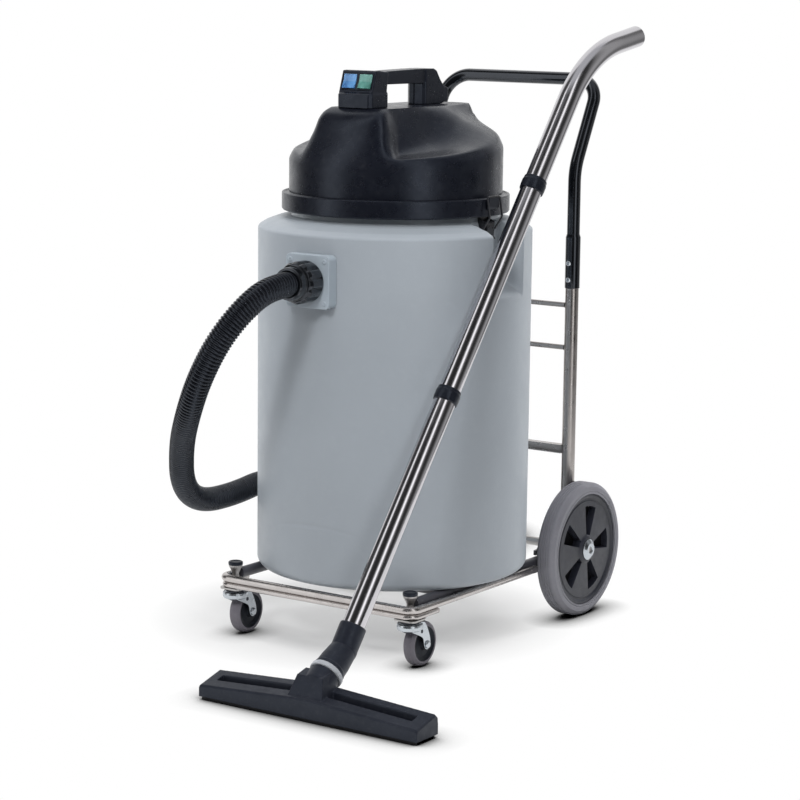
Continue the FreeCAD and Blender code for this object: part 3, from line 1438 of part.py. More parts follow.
def build():
    nodes = {
        "chassis_rail": chassis_rail(),
        "front_rod": front_rod(),
        "base_tubes": base_tubes(),
        "corner_plates": corner_plates(),
        "castor_posts": castor_posts(),
        "post_caps": post_caps(),
        "castor_races": castor_races(),
        "rear_uprights": uprights(),
        "cross_rods": cross_rods(),
        "cross_bar": cross_bar(),
        "axle_brackets": axle_brackets(),
        "axle": axle(),
        "push_handle": push_handle(),
        "handle_bolts": handle_bolts(),
        "drum": drum(),
        "drum_bracket": drum_bracket(),
        "inlet_flange": inlet_flange(),
        "coupling_nut": coupling_nut(),
        "clamp_bases": clamp_bases(),
        "head_cover": head_cover(),
        "lid_seal": lid_seal(),
        "motor_plate": motor_plate(),
        "motor_housings": motor_housings(),
        "float_cage": float_cage(),
        "float_body": float_body(),
        "carry_handle": carry_handle(),
        "switch_panel": switch_panel(),
        "cable_gland": cable_gland(),
        "clamp_keepers": clamp_keepers(),
        "rocker_blue": rocker(-ROCKER_PITCH / 2),
        "rocker_green": rocker(ROCKER_PITCH / 2),
        "rotor_front": rotor(0),
        "rotor_rear": rotor(1),
        "wand_lower": wand_lower(),
        "wand_upper": wand_upper(),
        "wand_bend": wand_bend(),
        "wand_collars": wand_collars(),
        "tool_elbow": tool_elbow(),
        "swivel_ring": swivel_ring(),
        "tool_body": tool_body(),
        "tool_blades": tool_blades(),
    }
    for name, s in SIDES:
        nodes["castor_fork_" + name] = castor_fork(s)
        nodes["castor_core_" + name] = castor_core(s)
        nodes["castor_tread_" + name] = castor_tread(s)
        nodes["rear_tyre_" + name] = rear_tyre(s)
        nodes["rear_rim_" + name] = rear_rim(s)
        nodes["hub_cap_" + name] = hub_cap(s)
        nodes["clamp_lever_" + name] = clamp_lever(s)
        nodes["bail_" + name] = wire_bail(s)
    cords = {"hose_run": hose_run(), "hose_coil": hose_coil(), "hose_cuff": hose_cuff()}
    return nodes, cords


def main():
    os.makedirs("parts", exist_ok=True)
    nodes, cords = build()
    box = Part.makeCompound(list(nodes.values())).optimalBoundingBox(False)
    shift = vec(-(box.XMin + box.XMax) / 2, -(box.YMin + box.YMax) / 2, -box.ZMin)
    print("shift", [round(c, 4) for c in shift], "size", round(box.XLength, 2), round(box.YLength, 2), round(box.ZLength, 2))
    for name, shape in list(nodes.items()) + list(cords.items()):
        shape.translate(shift)
        print(name, len(shape.Solids), "valid" if shape.isValid() else "INVALID", round(shape.Volume / 1000, 2))
        shape.exportStep("parts/" + name + ".step")


main()
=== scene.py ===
import bpy
import math
import numpy as np
from mathutils import Matrix, Vector

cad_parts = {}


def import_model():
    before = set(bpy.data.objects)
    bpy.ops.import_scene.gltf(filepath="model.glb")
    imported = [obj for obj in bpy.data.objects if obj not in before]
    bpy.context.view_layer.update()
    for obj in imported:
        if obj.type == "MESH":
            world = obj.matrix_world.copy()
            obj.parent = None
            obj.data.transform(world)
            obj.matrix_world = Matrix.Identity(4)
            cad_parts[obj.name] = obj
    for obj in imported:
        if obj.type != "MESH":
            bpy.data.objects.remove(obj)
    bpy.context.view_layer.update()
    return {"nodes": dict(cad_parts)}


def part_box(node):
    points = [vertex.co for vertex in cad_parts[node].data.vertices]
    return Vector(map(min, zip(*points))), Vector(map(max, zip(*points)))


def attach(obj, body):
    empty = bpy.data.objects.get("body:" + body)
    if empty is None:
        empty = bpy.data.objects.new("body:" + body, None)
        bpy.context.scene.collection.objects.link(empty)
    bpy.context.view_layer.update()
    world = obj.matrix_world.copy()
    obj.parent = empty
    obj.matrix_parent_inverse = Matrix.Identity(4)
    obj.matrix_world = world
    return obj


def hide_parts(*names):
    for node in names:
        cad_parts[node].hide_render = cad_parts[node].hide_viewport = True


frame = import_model()

# The pieces are written in millimetres from the drum axis on the floor, as in the part's source.
WHEEL_X, WHEEL_Y, WHEEL_R = 220.0, 295.0, 125.0
left_tyre, right_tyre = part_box("rear_tyre_left"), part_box("rear_tyre_right")
ORIGIN = Vector(((left_tyre[0].x + right_tyre[1].x) / 2, (left_tyre[0].y + left_tyre[1].y) / 2 - WHEEL_Y / 1000, 0))
SIDES = (("left", -1), ("right", 1))
UP = (0, 0, 1)


def at(x, y, z):
    """Millimetres from the drum axis to metres in the row frame."""
    return Vector((x / 1000, y / 1000, z / 1000)) + ORIGIN


# Materials

def srgb(code):
    """Linear colour of a six-digit code."""
    values = [int(code[i:i + 2], 16) / 255 for i in (0, 2, 4)]
    return [c / 12.92 if c <= 0.04045 else ((c + 0.055) / 1.055) ** 2.4 for c in values]


def scaled(colour, by, plus=0.0):
    """Lighter or darker colour, with its alpha."""
    return (*(min(1, c * by + plus) for c in colour), 1)


def grey(level):
    return (level, level, level, 1)


class Nodes:
    """Builds the node tree of a material or a world."""

    def __init__(self, owner):
        self.owner = owner
        owner.use_nodes = True
        self.tree = owner.node_tree
        self.coordinates = self.add("ShaderNodeTexCoord").outputs

    def feed(self, node, inputs):
        """Set a node's inputs, each to a value or to the output that feeds it."""
        for spot, value in inputs.items():
            if isinstance(value, bpy.types.NodeSocket):
                self.tree.links.new(value, node.inputs[spot])
            else:
                node.inputs[spot].default_value = value

    def add(self, kind, inputs=None, **settings):
        made = self.tree.nodes.new(kind)
        for key, value in settings.items():
            setattr(made, key, value)
        self.feed(made, inputs or {})
        return made

    def noise(self, scale, detail=3.0, rough=0.5, vector=None):
        return self.add("ShaderNodeTexNoise", {
            "Scale": scale, "Detail": detail, "Roughness": rough, "Vector": vector or self.coordinates["Object"],
        }).outputs["Fac"]

    def stretched(self, scale):
        return self.add("ShaderNodeMapping", {"Scale": scale, "Vector": self.coordinates["Object"]}).outputs["Vector"]

    def ranged(self, value, low, high, start=0.3, stop=0.7):
        return self.add("ShaderNodeMapRange", {
            "From Min": start, "From Max": stop, "To Min": low, "To Max": high, "Value": value,
        }).outputs["Result"]

    def mix(self, factor, first, second):
        return self.add("ShaderNodeMix", {0: factor, 6: first, 7: second}, data_type="RGBA").outputs[2]

    def bump(self, height, distance, strength=1.0, before=None):
        inputs = {"Distance": distance, "Strength": strength, "Height": height}
        if before is not None:
            inputs["Normal"] = before
        return self.add("ShaderNodeBump", inputs).outputs["Normal"]

    def math(self, operation, first, second):
        return self.add("ShaderNodeMath", {0: first, 1: second}, operation=operation).outputs[0]

    def choose(self, factor, first, second):
        """Mix of two shaders."""
        return self.add("ShaderNodeMixShader", {0: factor, 1: first, 2: second}).outputs[0]

    def finished(self, inputs):
        self.feed(self.tree.nodes["Principled BSDF"], inputs)
        return self.owner


def plastic(name, code, rough, grain=(800.0, 0.00006), vary=0.10, blotch=20.0, coat=0.0, dust=0.0, level=0.5,
            tint=(1, 1, 1)):
    """Moulded plastic or rubber: base colour with soft blotches, fine grain and uneven sheen."""
    n = Nodes(bpy.data.materials.new(name))
    base = srgb(code)
    colour = n.mix(n.ranged(n.noise(blotch, 4.0), 0, 1), scaled(base, 1 - vary), scaled(base, 1 + vary, 0.002))
    if dust:
        patches = n.ranged(n.noise(blotch * 9, 6.0, 0.7), 0, dust, 0.52, 0.75)
        colour = n.mix(patches, colour, scaled(base, 1, 0.10))
    fine = n.bump(n.noise(grain[0], 2.0), grain[1])
    return n.finished({
        "Base Color": colour, "Roughness": n.ranged(n.noise(blotch * 5, 4.0), rough - 0.05, rough + 0.06),
        "Normal": n.bump(n.noise(blotch * 3, 2.0), 0.0004, 0.4, fine), "Specular IOR Level": level,
        "Specular Tint": (*tint, 1), "Coat Weight": coat, "Coat Roughness": 0.08,
    })


def metal(name, code, rough, brush=None, brush_depth=0.00002, vary=0.08, marks=0.0):
    """Metal with uneven polish; brush stretches its fine scratches."""
    n = Nodes(bpy.data.materials.new(name))
    base = srgb(code)
    colour = n.mix(n.ranged(n.noise(22.0, 5.0, 0.6), 0, 1), scaled(base, 1 - vary), scaled(base, 1))
    if marks:
        colour = n.mix(n.ranged(n.noise(130.0, 6.0, 0.7), 0, marks, 0.58, 0.8), colour, scaled(base, 0.62))
    scratches = n.noise(900.0, 2.0, 0.5, n.stretched(brush) if brush else None)
    return n.finished({
        "Base Color": colour, "Metallic": 1.0, "Roughness": n.ranged(n.noise(60.0, 4.0), rough * 0.8, rough * 1.25),
        "Normal": n.bump(scratches, brush_depth),
    })


def tinted(name, code, deep):
    """Translucent rocker moulding, lit a little from within."""
    n = Nodes(bpy.data.materials.new(name))
    return n.finished({
        "Base Color": n.mix(n.ranged(n.noise(60.0, 3.0), 0, 1), scaled(srgb(deep), 1), scaled(srgb(code), 1)),
        "Normal": n.bump(n.noise(500.0, 2.0), 0.00003), "Roughness": 0.16, "Coat Weight": 0.5,
        "Subsurface Weight": 0.3, "Subsurface Radius": (0.004, 0.004, 0.004), "Subsurface Scale": 1.0,
    })


# Slightly blue reflections of the black mouldings
COOL = (0.72, 0.82, 1.0)

# Settings of each look: code is its colour, grain the scale and depth of its surface, blotch the scale of its patches
PLASTICS = {
    "grey_drum": dict(code="868C92", rough=0.42, grain=(620.0, 0.00012), vary=0.035, blotch=5.0, dust=0.10),
    "grey_moulding": dict(code="8B949C", rough=0.38, vary=0.04, blotch=12.0),
    "black_head": dict(code="0C0E15", rough=0.29, grain=(760.0, 0.00010), vary=0.12, blotch=11.0, dust=0.06,
                       level=0.45, tint=COOL),
    "black_plastic": dict(code="101218", rough=0.34, grain=(900.0, 0.00006), level=0.45, tint=COOL),
    "black_gloss": dict(code="050608", rough=0.12, grain=(300.0, 0.00003), coat=0.5, tint=COOL),
    "black_rubber": dict(code="131317", rough=0.62, grain=(1100.0, 0.0001), vary=0.12),
    "hose_black": dict(code="090A0E", rough=0.24, grain=(1200.0, 0.00004), vary=0.15, blotch=14.0, dust=0.06,
                       tint=COOL),
    "tool_plastic": dict(code="181A21", rough=0.42, grain=(820.0, 0.00012), blotch=16.0, dust=0.10,
                         level=0.4, tint=COOL),
    "grey_ring": dict(code="8D9095", rough=0.40, vary=0.05),
    "grey_tyre": dict(code="68686E", rough=0.55, grain=(1000.0, 0.00010), vary=0.07, blotch=14.0, dust=0.15),
    "grey_tread": dict(code="5C5960", rough=0.50, grain=(1000.0, 0.00010), vary=0.08, blotch=24.0, dust=0.15),
    "black_rim": dict(code="20222A", rough=0.40, grain=(800.0, 0.00012), vary=0.08),
    "castor_black": dict(code="0B0C10", rough=0.5, vary=0.15, blotch=24.0, dust=0.06, level=0.3, tint=COOL),
    # Matte near-black for the disc behind the wheel windows: painted shade of the wheel's inside
    "deep_black": dict(code="050507", rough=0.8, vary=0.2, level=0.1),
    "black_steel": dict(code="17181C", rough=0.30, grain=(700.0, 0.00004), vary=0.15, blotch=40.0, coat=0.3),
    # Dark grey on steel tubes that lie in the drum's shade: painted shade
    "dark_tube": dict(code="3A3A40", rough=0.35, grain=(500.0, 0.00005), vary=0.12, blotch=25.0, coat=0.2),
    "float_plastic": dict(code="D8D8D4", rough=0.35, grain=(700.0, 0.00006), vary=0.08, blotch=9.0),
}
METALS = {
    "zinc_rod": dict(code="C9C4C2", rough=0.24, brush_depth=0.00004, vary=0.10, marks=0.35),
    "zinc_sheet": dict(code="BDBBBA", rough=0.34, brush_depth=0.00005, vary=0.12, marks=0.3),
    "bright_zinc": dict(code="C6CCD2", rough=0.22, brush_depth=0.00004, vary=0.10, marks=0.25),
    "steel_tube": dict(code="B4AFAC", rough=0.30, brush=(1.0, 1.0, 0.02), brush_depth=0.00003, vary=0.06),
    "polished_steel": dict(code="D0CED2", rough=0.13, brush=(1.0, 0.25, 0.1), brush_depth=0.00002, vary=0.04),
    "dark_steel": dict(code="4A4B50", rough=0.38),
    "motor_case": dict(code="8F9196", rough=0.42, brush_depth=0.00005),
    "rotor_metal": dict(code="A9A9AC", rough=0.40),
}
ROCKERS = {
    "blue_rocker": dict(code="5586B4", deep="27507E"),
    "green_rocker": dict(code="568880", deep="2C5850"),
}
LOOKS = {name: make(name, **settings) for make, table in ((plastic, PLASTICS), (metal, METALS), (tinted, ROCKERS))
         for name, settings in table.items()}


# Mesh helpers

def piece(name, points, faces, look, body, stands_for=(), sharp=32.0):
    """Mesh object from millimetre points, shaded smooth except at sharp edges."""
    mesh = bpy.data.meshes.new(name)
    mesh.from_pydata([at(*p) for p in points], [], faces)
    mesh.validate()
    mesh.shade_smooth()
    mesh.set_sharp_from_angle(angle=math.radians(sharp))
    obj = bpy.data.objects.new(name, mesh)
    bpy.context.scene.collection.objects.link(obj)
    mesh.materials.append(LOOKS[look])
    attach(obj, body)
    if stands_for:
        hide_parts(*stands_for)
    return obj


def bevelled(obj, width, segments=3, angle=30.0):
    """Round the edges that are sharper than the angle."""
    made = obj.modifiers.new("edges", "BEVEL")
    made.width = width / 1000
    made.segments = segments
    made.limit_method = "ANGLE"
    made.angle_limit = math.radians(angle)
    made.harden_normals = True
    return obj


def softened(obj, voxel, rounds):
    """Rebuild the surface evenly and relax it, which rounds every edge as a mould does."""
    made = obj.modifiers.new("even", "REMESH")
    made.mode = "VOXEL"
    made.voxel_size = voxel / 1000
    made.use_smooth_shade = True
    relaxed = obj.modifiers.new("relax", "SMOOTH")
    relaxed.iterations = rounds
    relaxed.factor = 0.5
    return obj


def frame_of(axis):
    """Two directions across an axis, and the axis itself, each of length 1."""
    w = Vector(axis).normalized()
    side = Vector((0, 0, 1)) if abs(w.z) < 0.9 else Vector((1, 0, 0))
    u = side.cross(w).normalized()
    return u, w.cross(u), w


def filleted(corners, steps=5):
    """Profile from (radius, height, corner radius) points, with each corner rounded."""
    result = []
    count = len(corners)
    for i, (r, h, round_by) in enumerate(corners):
        here = Vector((r, h))
        before = Vector(corners[i - 1][:2]) if i else None
        after = Vector(corners[i + 1][:2]) if i < count - 1 else None
        if round_by <= 0 or before is None or after is None:
            result.append((r, h))
            continue
        a = (before - here).normalized()
        b = (after - here).normalized()
        angle = a.angle(b)
        back = min(round_by / math.tan(angle / 2), (before - here).length * 0.49, (after - here).length * 0.49)
        radius = back * math.tan(angle / 2)
        centre = here + (a + b).normalized() * (radius / math.sin(angle / 2))
        first, last = here + a * back - centre, here + b * back - centre
        turn = math.atan2(first.x * last.y - first.y * last.x, first.dot(last))
        for k in range(steps + 1):
            t = turn * k / steps
            c, s = math.cos(t), math.sin(t)
            result.append((centre.x + first.x * c - first.y * s, centre.y + first.x * s + first.y * c))
    return result


def lathe_mesh(profile, base, axis, segments=96, closed=False, shape=None):
    """Points and faces of a turned form.

    segments is a count or a list of angles, closed joins the profile's ends, and shape changes the radius of a point.
    """
    u, v, w = frame_of(axis)
    base = Vector(base)
    angles = segments if isinstance(segments, list) else [2 * math.pi * k / segments for k in range(segments)]
    count = len(angles)
    points, rings = [], []
    for index, (r, h) in enumerate(profile):
        if r < 1e-6:
            rings.append([len(points)] * count)
            points.append(base + w * h)
            continue
        start = len(points)
        for t in angles:
            reach = r if shape is None else shape(index, r, h, t)
            points.append(base + w * h + (u * math.cos(t) + v * math.sin(t)) * reach)
        rings.append(list(range(start, start + count)))
    faces = []
    pairs = list(zip(rings, rings[1:])) + ([(rings[-1], rings[0])] if closed else [])
    for low, high in pairs:
        for k in range(count):
            n = (k + 1) % count
            corners = [low[k], low[n], high[n], high[k]]
            kept = [c for i, c in enumerate(corners) if c != corners[i - 1]]
            if len(kept) > 2:
                faces.append(kept)
    return points, faces


def joined(meshes):
    """Several meshes as one."""
    points, faces = [], []
    for p, f in meshes:
        start = len(points)
        points += list(p)
        faces += [[c + start for c in face] for face in f]
    return points, faces


def turned(corners, base, axis, segments=96, steps=5, closed=False):
    """Turned form from (radius, height, corner radius) points."""
    return lathe_mesh(filleted(corners, steps), base, axis, segments, closed)


def lathe(name, corners, base, axis, look, body, stands_for=(), segments=96, closed=False, steps=5):
    return piece(name, *turned(corners, base, axis, segments, steps, closed), look, body, stands_for)


def both_sides(bore, side, middle=()):
    """Closed profile from the points above height 0, with the same points below it; middle lies between the two."""
    return [(bore, 0, 0), *((r, -h, round_by) for r, h, round_by in side), *middle, *reversed(side)]


def band(a, b, count, flip=False):
    """Faces between two rings of points whose first points are a and b."""
    quads = [(a + k, b + k, b + (k + 1) % count, a + (k + 1) % count) for k in range(count)]
    return [[p, s, r, q] if flip else [p, q, r, s] for p, q, r, s in quads]


def rounded_path(corners, radii, turn=4.0):
    """Straight runs of a bent tube with true arcs at its corners."""
    corners = [Vector(c) for c in corners]
    points = [corners[0]]
    for i in range(1, len(corners) - 1):
        before = (corners[i - 1] - corners[i]).normalized()
        after = (corners[i + 1] - corners[i]).normalized()
        bend = math.pi - before.angle(after)
        back = radii[i - 1] * math.tan(bend / 2)
        centre = corners[i] + (before + after).normalized() * (radii[i - 1] / math.cos(bend / 2))
        first = corners[i] + before * back - centre
        last = corners[i] + after * back - centre
        axis = first.cross(last).normalized()
        steps = max(2, int(math.degrees(bend) / turn))
        points += [centre + Matrix.Rotation(bend * k / steps, 3, axis) @ first for k in range(steps + 1)]
    return points + [corners[-1]]


def sweep_mesh(path, radii, segments=32, capped=True):
    """Round tube along a list of points, one radius for each."""
    path = [Vector(p) for p in path]
    points, faces = [], []
    side = None
    for i, spot in enumerate(path):
        heading = (path[min(i + 1, len(path) - 1)] - path[max(i - 1, 0)]).normalized()
        if side is None:
            side = frame_of(heading)[0]
        side = (side - heading * side.dot(heading)).normalized()
        other = heading.cross(side)
        for k in range(segments):
            t = 2 * math.pi * k / segments
            points.append(spot + (side * math.cos(t) + other * math.sin(t)) * radii[i])
    for i in range(len(path) - 1):
        faces += band(i * segments, (i + 1) * segments, segments, True)
    if capped:
        last = (len(path) - 1) * segments
        faces.append(list(range(segments))[::-1])
        faces.append(list(range(last, last + segments)))
    return points, faces


def capped_ends(path, radius, ease):
    """Path and radii with a small rounded edge at both ends of a bar."""
    path = [Vector(p) for p in path]
    start = (path[1] - path[0]).normalized()
    end = (path[-2] - path[-1]).normalized()
    inner = [path[0], path[0] + start * ease * 0.3, path[0] + start * ease]
    outer = [path[-1] + end * ease, path[-1] + end * ease * 0.3, path[-1]]
    tip = [radius - ease, radius - ease * 0.3, radius]
    return inner + path[1:-1] + outer, tip + [radius] * (len(path) - 2) + tip[::-1]


def bar(name, corners, radii, diameter, look, body, stands_for=(), ease=0.8, segments=32):
    """Bent round bar with eased ends."""
    route, widths = capped_ends(rounded_path(corners, radii), diameter / 2, ease)
    points, faces = sweep_mesh(route, widths, segments)
    return piece(name, points, faces, look, body, stands_for)


def loft_mesh(first, last):
    """Solid between two outlines with the same number of corners."""
    n = len(first)
    faces = [list(range(n))[::-1], list(range(n, 2 * n))] + band(0, n, n, True)
    return [Vector(p) for p in first] + [Vector(p) for p in last], faces


def prism_mesh(outline, along):
    """Solid from an outline moved along a vector, with its faces turned outwards."""
    outline = [Vector(p) for p in outline]
    along = Vector(along)
    points, faces = loft_mesh(outline, [p + along for p in outline])
    normal = sum((p.cross(q) for p, q in zip(outline, outline[1:] + outline[:1])), Vector((0, 0, 0)))
    return points, [f[::-1] for f in faces] if normal.dot(along) < 0 else faces


def dressed(node, look):
    """A CAD node that stays, with its own material."""
    obj = frame["nodes"][node]
    obj.data.materials.clear()
    obj.data.materials.append(LOOKS[look])
    return obj


# Drum

DRUM_R, DRUM_WALL, NECK_R = 244.5, 5.0, 184.0
FOOT_Z, EDGE_Z, SHOULDER_Z, NECK_TOP = 123.2, 736.5, 756.0, 770.0
RECESS_HALF, RECESS_BACK, RECESS_FOOT, RECESS_SLOPE, RECESS_DRAFT = 45.0, 189.5, 626.0, 34.0, 4.5
CREASE_Z, CREASE_HALF, CREASE_DROP, CREASE_DEPTH = 230.5, 0.40, 13.5, 1.2


def step(low, high, value):
    """Smooth rise from 0 at low to 1 at high."""
    t = max(0.0, min(1.0, (value - low) / (high - low)))
    return t * t * (3 - 2 * t)


def above(value, ease):
    """Positive part with a rounded corner."""
    if value <= -ease:
        return 0.0
    return value if value >= ease else (value + ease) ** 2 / (4 * ease)


def recessed(p, grow):
    """Push a point back into the clamp recess, whose cheeks have draft and whose edges are rounded."""
    side = 1 if p.x > 0 else -1
    out = abs(p.x)
    inside = 1 - step(RECESS_HALF + grow - RECESS_DRAFT, RECESS_HALF + grow + RECESS_DRAFT, abs(p.y))
    if inside <= 0 or p.z < RECESS_FOOT - 14:
        return p
    top_round = above(p.z - (EDGE_Z + 2), 4.0) * 0.3
    fall = above(RECESS_FOOT + RECESS_SLOPE - p.z, 7.0) * (DRUM_R - RECESS_BACK) / RECESS_SLOPE
    back = RECESS_BACK - grow - top_round + fall
    return Vector((side * (out - inside * above(out - back, 5.0)), p.y, p.z))


def drum_angles():
    """Columns round the drum in degrees from the front, close together at the cheeks of the recesses."""
    cheek = np.arange(7.5, 14.6, 0.3)
    marks = set()
    for middle in (90, 270):
        marks |= {middle + sign * a for a in cheek for sign in (-1, 1)}
        marks |= {middle + a for a in (-5, -2.5, 0, 2.5, 5)}
    marks |= {a for a in np.arange(0, 360, 1.0) if min(abs(a - 90), abs(a - 270)) > 15}
    return [math.radians(a) for a in sorted(marks)]


def creased(t, r, h):
    """Faint arched step moulded into the lower front."""
    share = math.atan2(math.sin(t), math.cos(t)) / CREASE_HALF
    if r < DRUM_R - 1 or abs(share) >= 1 or abs(h - CREASE_Z) > 40:
        return r
    fade = 1 - share * share
    offset = (h - (CREASE_Z - CREASE_DROP * share * share)) / (3.5 * fade + 0.6)
    if offset <= -1:
        return r
    return r - CREASE_DEPTH * fade * math.exp(-max(offset, 0) * 1.2) * min(1, offset + 1)


def drum_shell():
    """Drum with its wall, open neck, clamp recesses and crease."""
    r, wall = DRUM_R, DRUM_WALL
    outer = filleted([(0, FOOT_Z, 0), (r, FOOT_Z, 15), (r, 200, 0)], 7)
    outer += [(r, z) for z in (*np.arange(205, 250, 2.5), 280, 340, 400, 460, 520, 570, *np.arange(600, 724, 3.5))]
    outer += filleted([
        (r, 724, 0), (r, EDGE_Z, 6.5), (r - 13, EDGE_Z + 8, 26), (r - 35, SHOULDER_Z - 3.5, 40),
        (NECK_R, SHOULDER_Z, 3), (NECK_R, NECK_TOP, 1.6), (NECK_R - wall, NECK_TOP, 1.6)], 8)[1:]
    inner = [(NECK_R - wall, NECK_TOP - 4), (NECK_R - wall, SHOULDER_Z - wall), (r - 35, SHOULDER_Z - 10),
             (r - wall - 8, EDGE_Z)]
    inner += [(r - wall, z) for z in (*np.arange(722, 600, -6), 560, 400, 250, FOOT_Z + wall + 10)]
    inner += [(r - wall - 10, FOOT_Z + wall), (0, FOOT_Z + wall)]
    angles = drum_angles()
    count = len(outer)

    def shape(index, radius, h, t):
        return creased(t, radius, h) if index < count else radius

    points, faces = lathe_mesh(outer + inner, (0, 0, 0), UP, angles, False, shape)
    edge = 1 + len(angles) * (count - 1)
    points = [recessed(q, 0 if i < edge else wall)
              if q.z < SHOULDER_Z + 0.5 and math.hypot(q.x, q.y) > NECK_R + 2 else q for i, q in enumerate(points)]
    piece("drum_shell", points, faces, "grey_drum", "trolley", ("drum",), 40.0)


# Hose

# Points that pull the hose's curve, in metres from the drum axis, from the nut to the floor
HOSE_ROUTE = [
    (0.0, -0.303, 0.661), (0.0, -0.362, 0.661), (-0.014, -0.412, 0.633), (-0.042, -0.450, 0.578),
    (-0.075, -0.462, 0.510), (-0.115, -0.443, 0.444), (-0.182, -0.380, 0.372), (-0.236, -0.312, 0.283),
    (-0.268, -0.222, 0.236), (-0.281, -0.108, 0.230), (-0.297, 0.012, 0.238), (-0.325, 0.131, 0.196),
    (-0.345, 0.235, 0.105), (-0.338, 0.332, 0.040),
]
HOSE_START, HOSE_R, HOSE_PITCH, RIB_DEPTH = (0, -303, 661), 22.0, 6.2, 2.1
# Share of the ribs' height over one pitch
RIB = (1.0, 0.99, 0.90, 0.42, 0.0, 0.42, 0.90)
COIL_QUARTERS, COIL_STEP, COIL_RADIUS, COIL_EASE, COIL_START = 4, 0.024, 0.257, 1.019, math.radians(-30.0)


def coil_points():
    """Control points of the stored loop with its straight run in and straight end, in metres from the drum axis."""
    angle = COIL_START
    centre = Vector((-0.440, 0.640, 0.022))
    radius = COIL_RADIUS
    spot = centre + Vector((math.cos(angle), math.sin(angle), 0)) * radius
    heading = Vector((-math.sin(angle), math.cos(angle), 0))
    points = [spot - heading * 0.118]
    for quarter in range(COIL_QUARTERS):
        for k in range(4):
            t = angle + math.pi / 2 * k / 4
            points.append(centre + Vector((math.cos(t), math.sin(t), 0)) * radius * COIL_EASE)
        angle += math.pi / 2
        centre = centre + Vector((math.cos(angle), math.sin(angle), 0)) * COIL_STEP
        radius -= COIL_STEP
    end = centre + Vector((math.cos(angle), math.sin(angle), 0)) * radius
    heading = Vector((-math.sin(angle), math.cos(angle), 0))
    return points + [end, end + heading * 0.044], end, heading


def hose_line():
    """Centre line of the hose, its end and the direction of its end."""
    points, end, heading = coil_points()
    route = [Vector(p) for p in HOSE_ROUTE] + points
    curve = bpy.data.curves.new("hose_line", "CURVE")
    curve.dimensions = "3D"
    spline = curve.splines.new("NURBS")
    spline.points.add(len(route) - 1)
    for spot, p in zip(spline.points, route):
        spot.co = list(p + ORIGIN) + [1.0]
    spline.order_u = 3
    spline.use_endpoint_u = True
    spline.resolution_u = 24
    holder = bpy.data.objects.new("hose_line", curve)
    bpy.context.scene.collection.objects.link(holder)
    bpy.context.view_layer.update()
    mesh = bpy.data.meshes.new_from_object(holder)
    line = [(v.co - ORIGIN) * 1000 for v in mesh.vertices]
    bpy.data.objects.remove(holder)
    bpy.data.meshes.remove(mesh)
    return line, end * 1000, heading


def spread(line, step):
    """The line's points taken again at an even step."""
    line = np.array([list(p) for p in line])
    lengths = np.concatenate([[0], np.cumsum(np.linalg.norm(np.diff(line, axis=0), axis=1))])
    total = lengths[-1]
    marks = np.linspace(0, total, int(total / step) + 1)
    return np.stack([np.interp(marks, lengths, line[:, k]) for k in range(3)], 1), total


def hose():
    """Ribbed hose with its end cuff; gives its length."""
    line, end, heading = hose_line()
    route, total = spread(line, HOSE_PITCH / len(RIB))
    radii = [HOSE_R - RIB_DEPTH * (1 - RIB[i % len(RIB)]) for i in range(len(route))]
    points, faces = sweep_mesh(route, radii, 26)
    obj = piece("hose_tube", points, faces, "hose_black", "trolley", ("hose_run", "hose_coil"), 60.0)
    cuff = lathe("hose_cuff_shell", [
        (17.5, 20, 0), (17.5, 0, 0.6), (24, 0, 2.0), (24, 31, 1.0), (21.5, 33, 0.8), (21.5, 39, 0.8), (22.4, 40, 0.5),
        (22.4, 43, 0.5), (21.2, 44, 0.5), (21.0, 95, 1.2), (17.5, 95, 0.8), (17.5, 60, 0),
    ], end + heading * 44.3 + Vector((0, 0, 2.0)), heading, "black_plastic", "trolley", ("hose_cuff",), 64, True)
    return total


# Head

# Shares of the dome's height at the nose, the side scoops and the tail, by the way out from the spine to the skirt
HEAD_LEVELS = np.array([
    (0.00, 1.00, 1.00, 1.00), (0.05, 1.00, 0.88, 0.985), (0.12, 1.00, 0.70, 0.94), (0.25, 0.99, 0.45, 0.82),
    (0.42, 0.92, 0.25, 0.63), (0.60, 0.66, 0.18, 0.50), (0.77, 0.43, 0.17, 0.39), (0.92, 0.20, 0.17, 0.25),
    (1.00, 0.00, 0.00, 0.02),
])
HEAD_OUTS = [0.0, 0.02, 0.05, 0.08, 0.12, 0.16, 0.2, 0.25, 0.3, 0.35, 0.4, 0.45, 0.5, 0.55, 0.6, 0.65, 0.7, 0.75, 0.8,
             0.84, 0.88, 0.91, 0.94, 0.96, 0.98, 0.992]
SKIRT_DROPS = (0.0, 0.3, 0.6, 0.85, 1.0)
HEAD_COLUMNS = 360
DOME_R, DOME_EDGE, DOME_SLOPE, PLATEAU, LIP_R, LIP_TOP = 190.0, 868.0, 0.1, 950.0, 202.7, 798.0
# Angles from the front, in degrees, over which the nose turns into the scoops and the scoops into the tail
NOSE_TURN, TAIL_TURN = (26, 37), (64, 126)
SPINE_HALF = 59.0


def smooth_through(x, xs, ys):
    """Monotone cubic through the given points."""
    d = np.diff(ys) / np.diff(xs)
    sums = d[:-1] + d[1:]
    inner = np.where(d[:-1] * d[1:] > 0, 2 * d[:-1] * d[1:] / np.where(sums == 0, 1, sums), 0)
    m = np.concatenate([[d[0]], inner, [d[-1]]])
    i = int(np.clip(np.searchsorted(xs, x) - 1, 0, len(xs) - 2))
    h = xs[i + 1] - xs[i]
    t = (x - xs[i]) / h
    return ((2 * t ** 3 - 3 * t ** 2 + 1) * ys[i] + (t ** 3 - 2 * t ** 2 + t) * h * m[i]
            + (3 * t ** 2 - 2 * t ** 3) * ys[i + 1] + (t ** 3 - t ** 2) * h * m[i + 1])


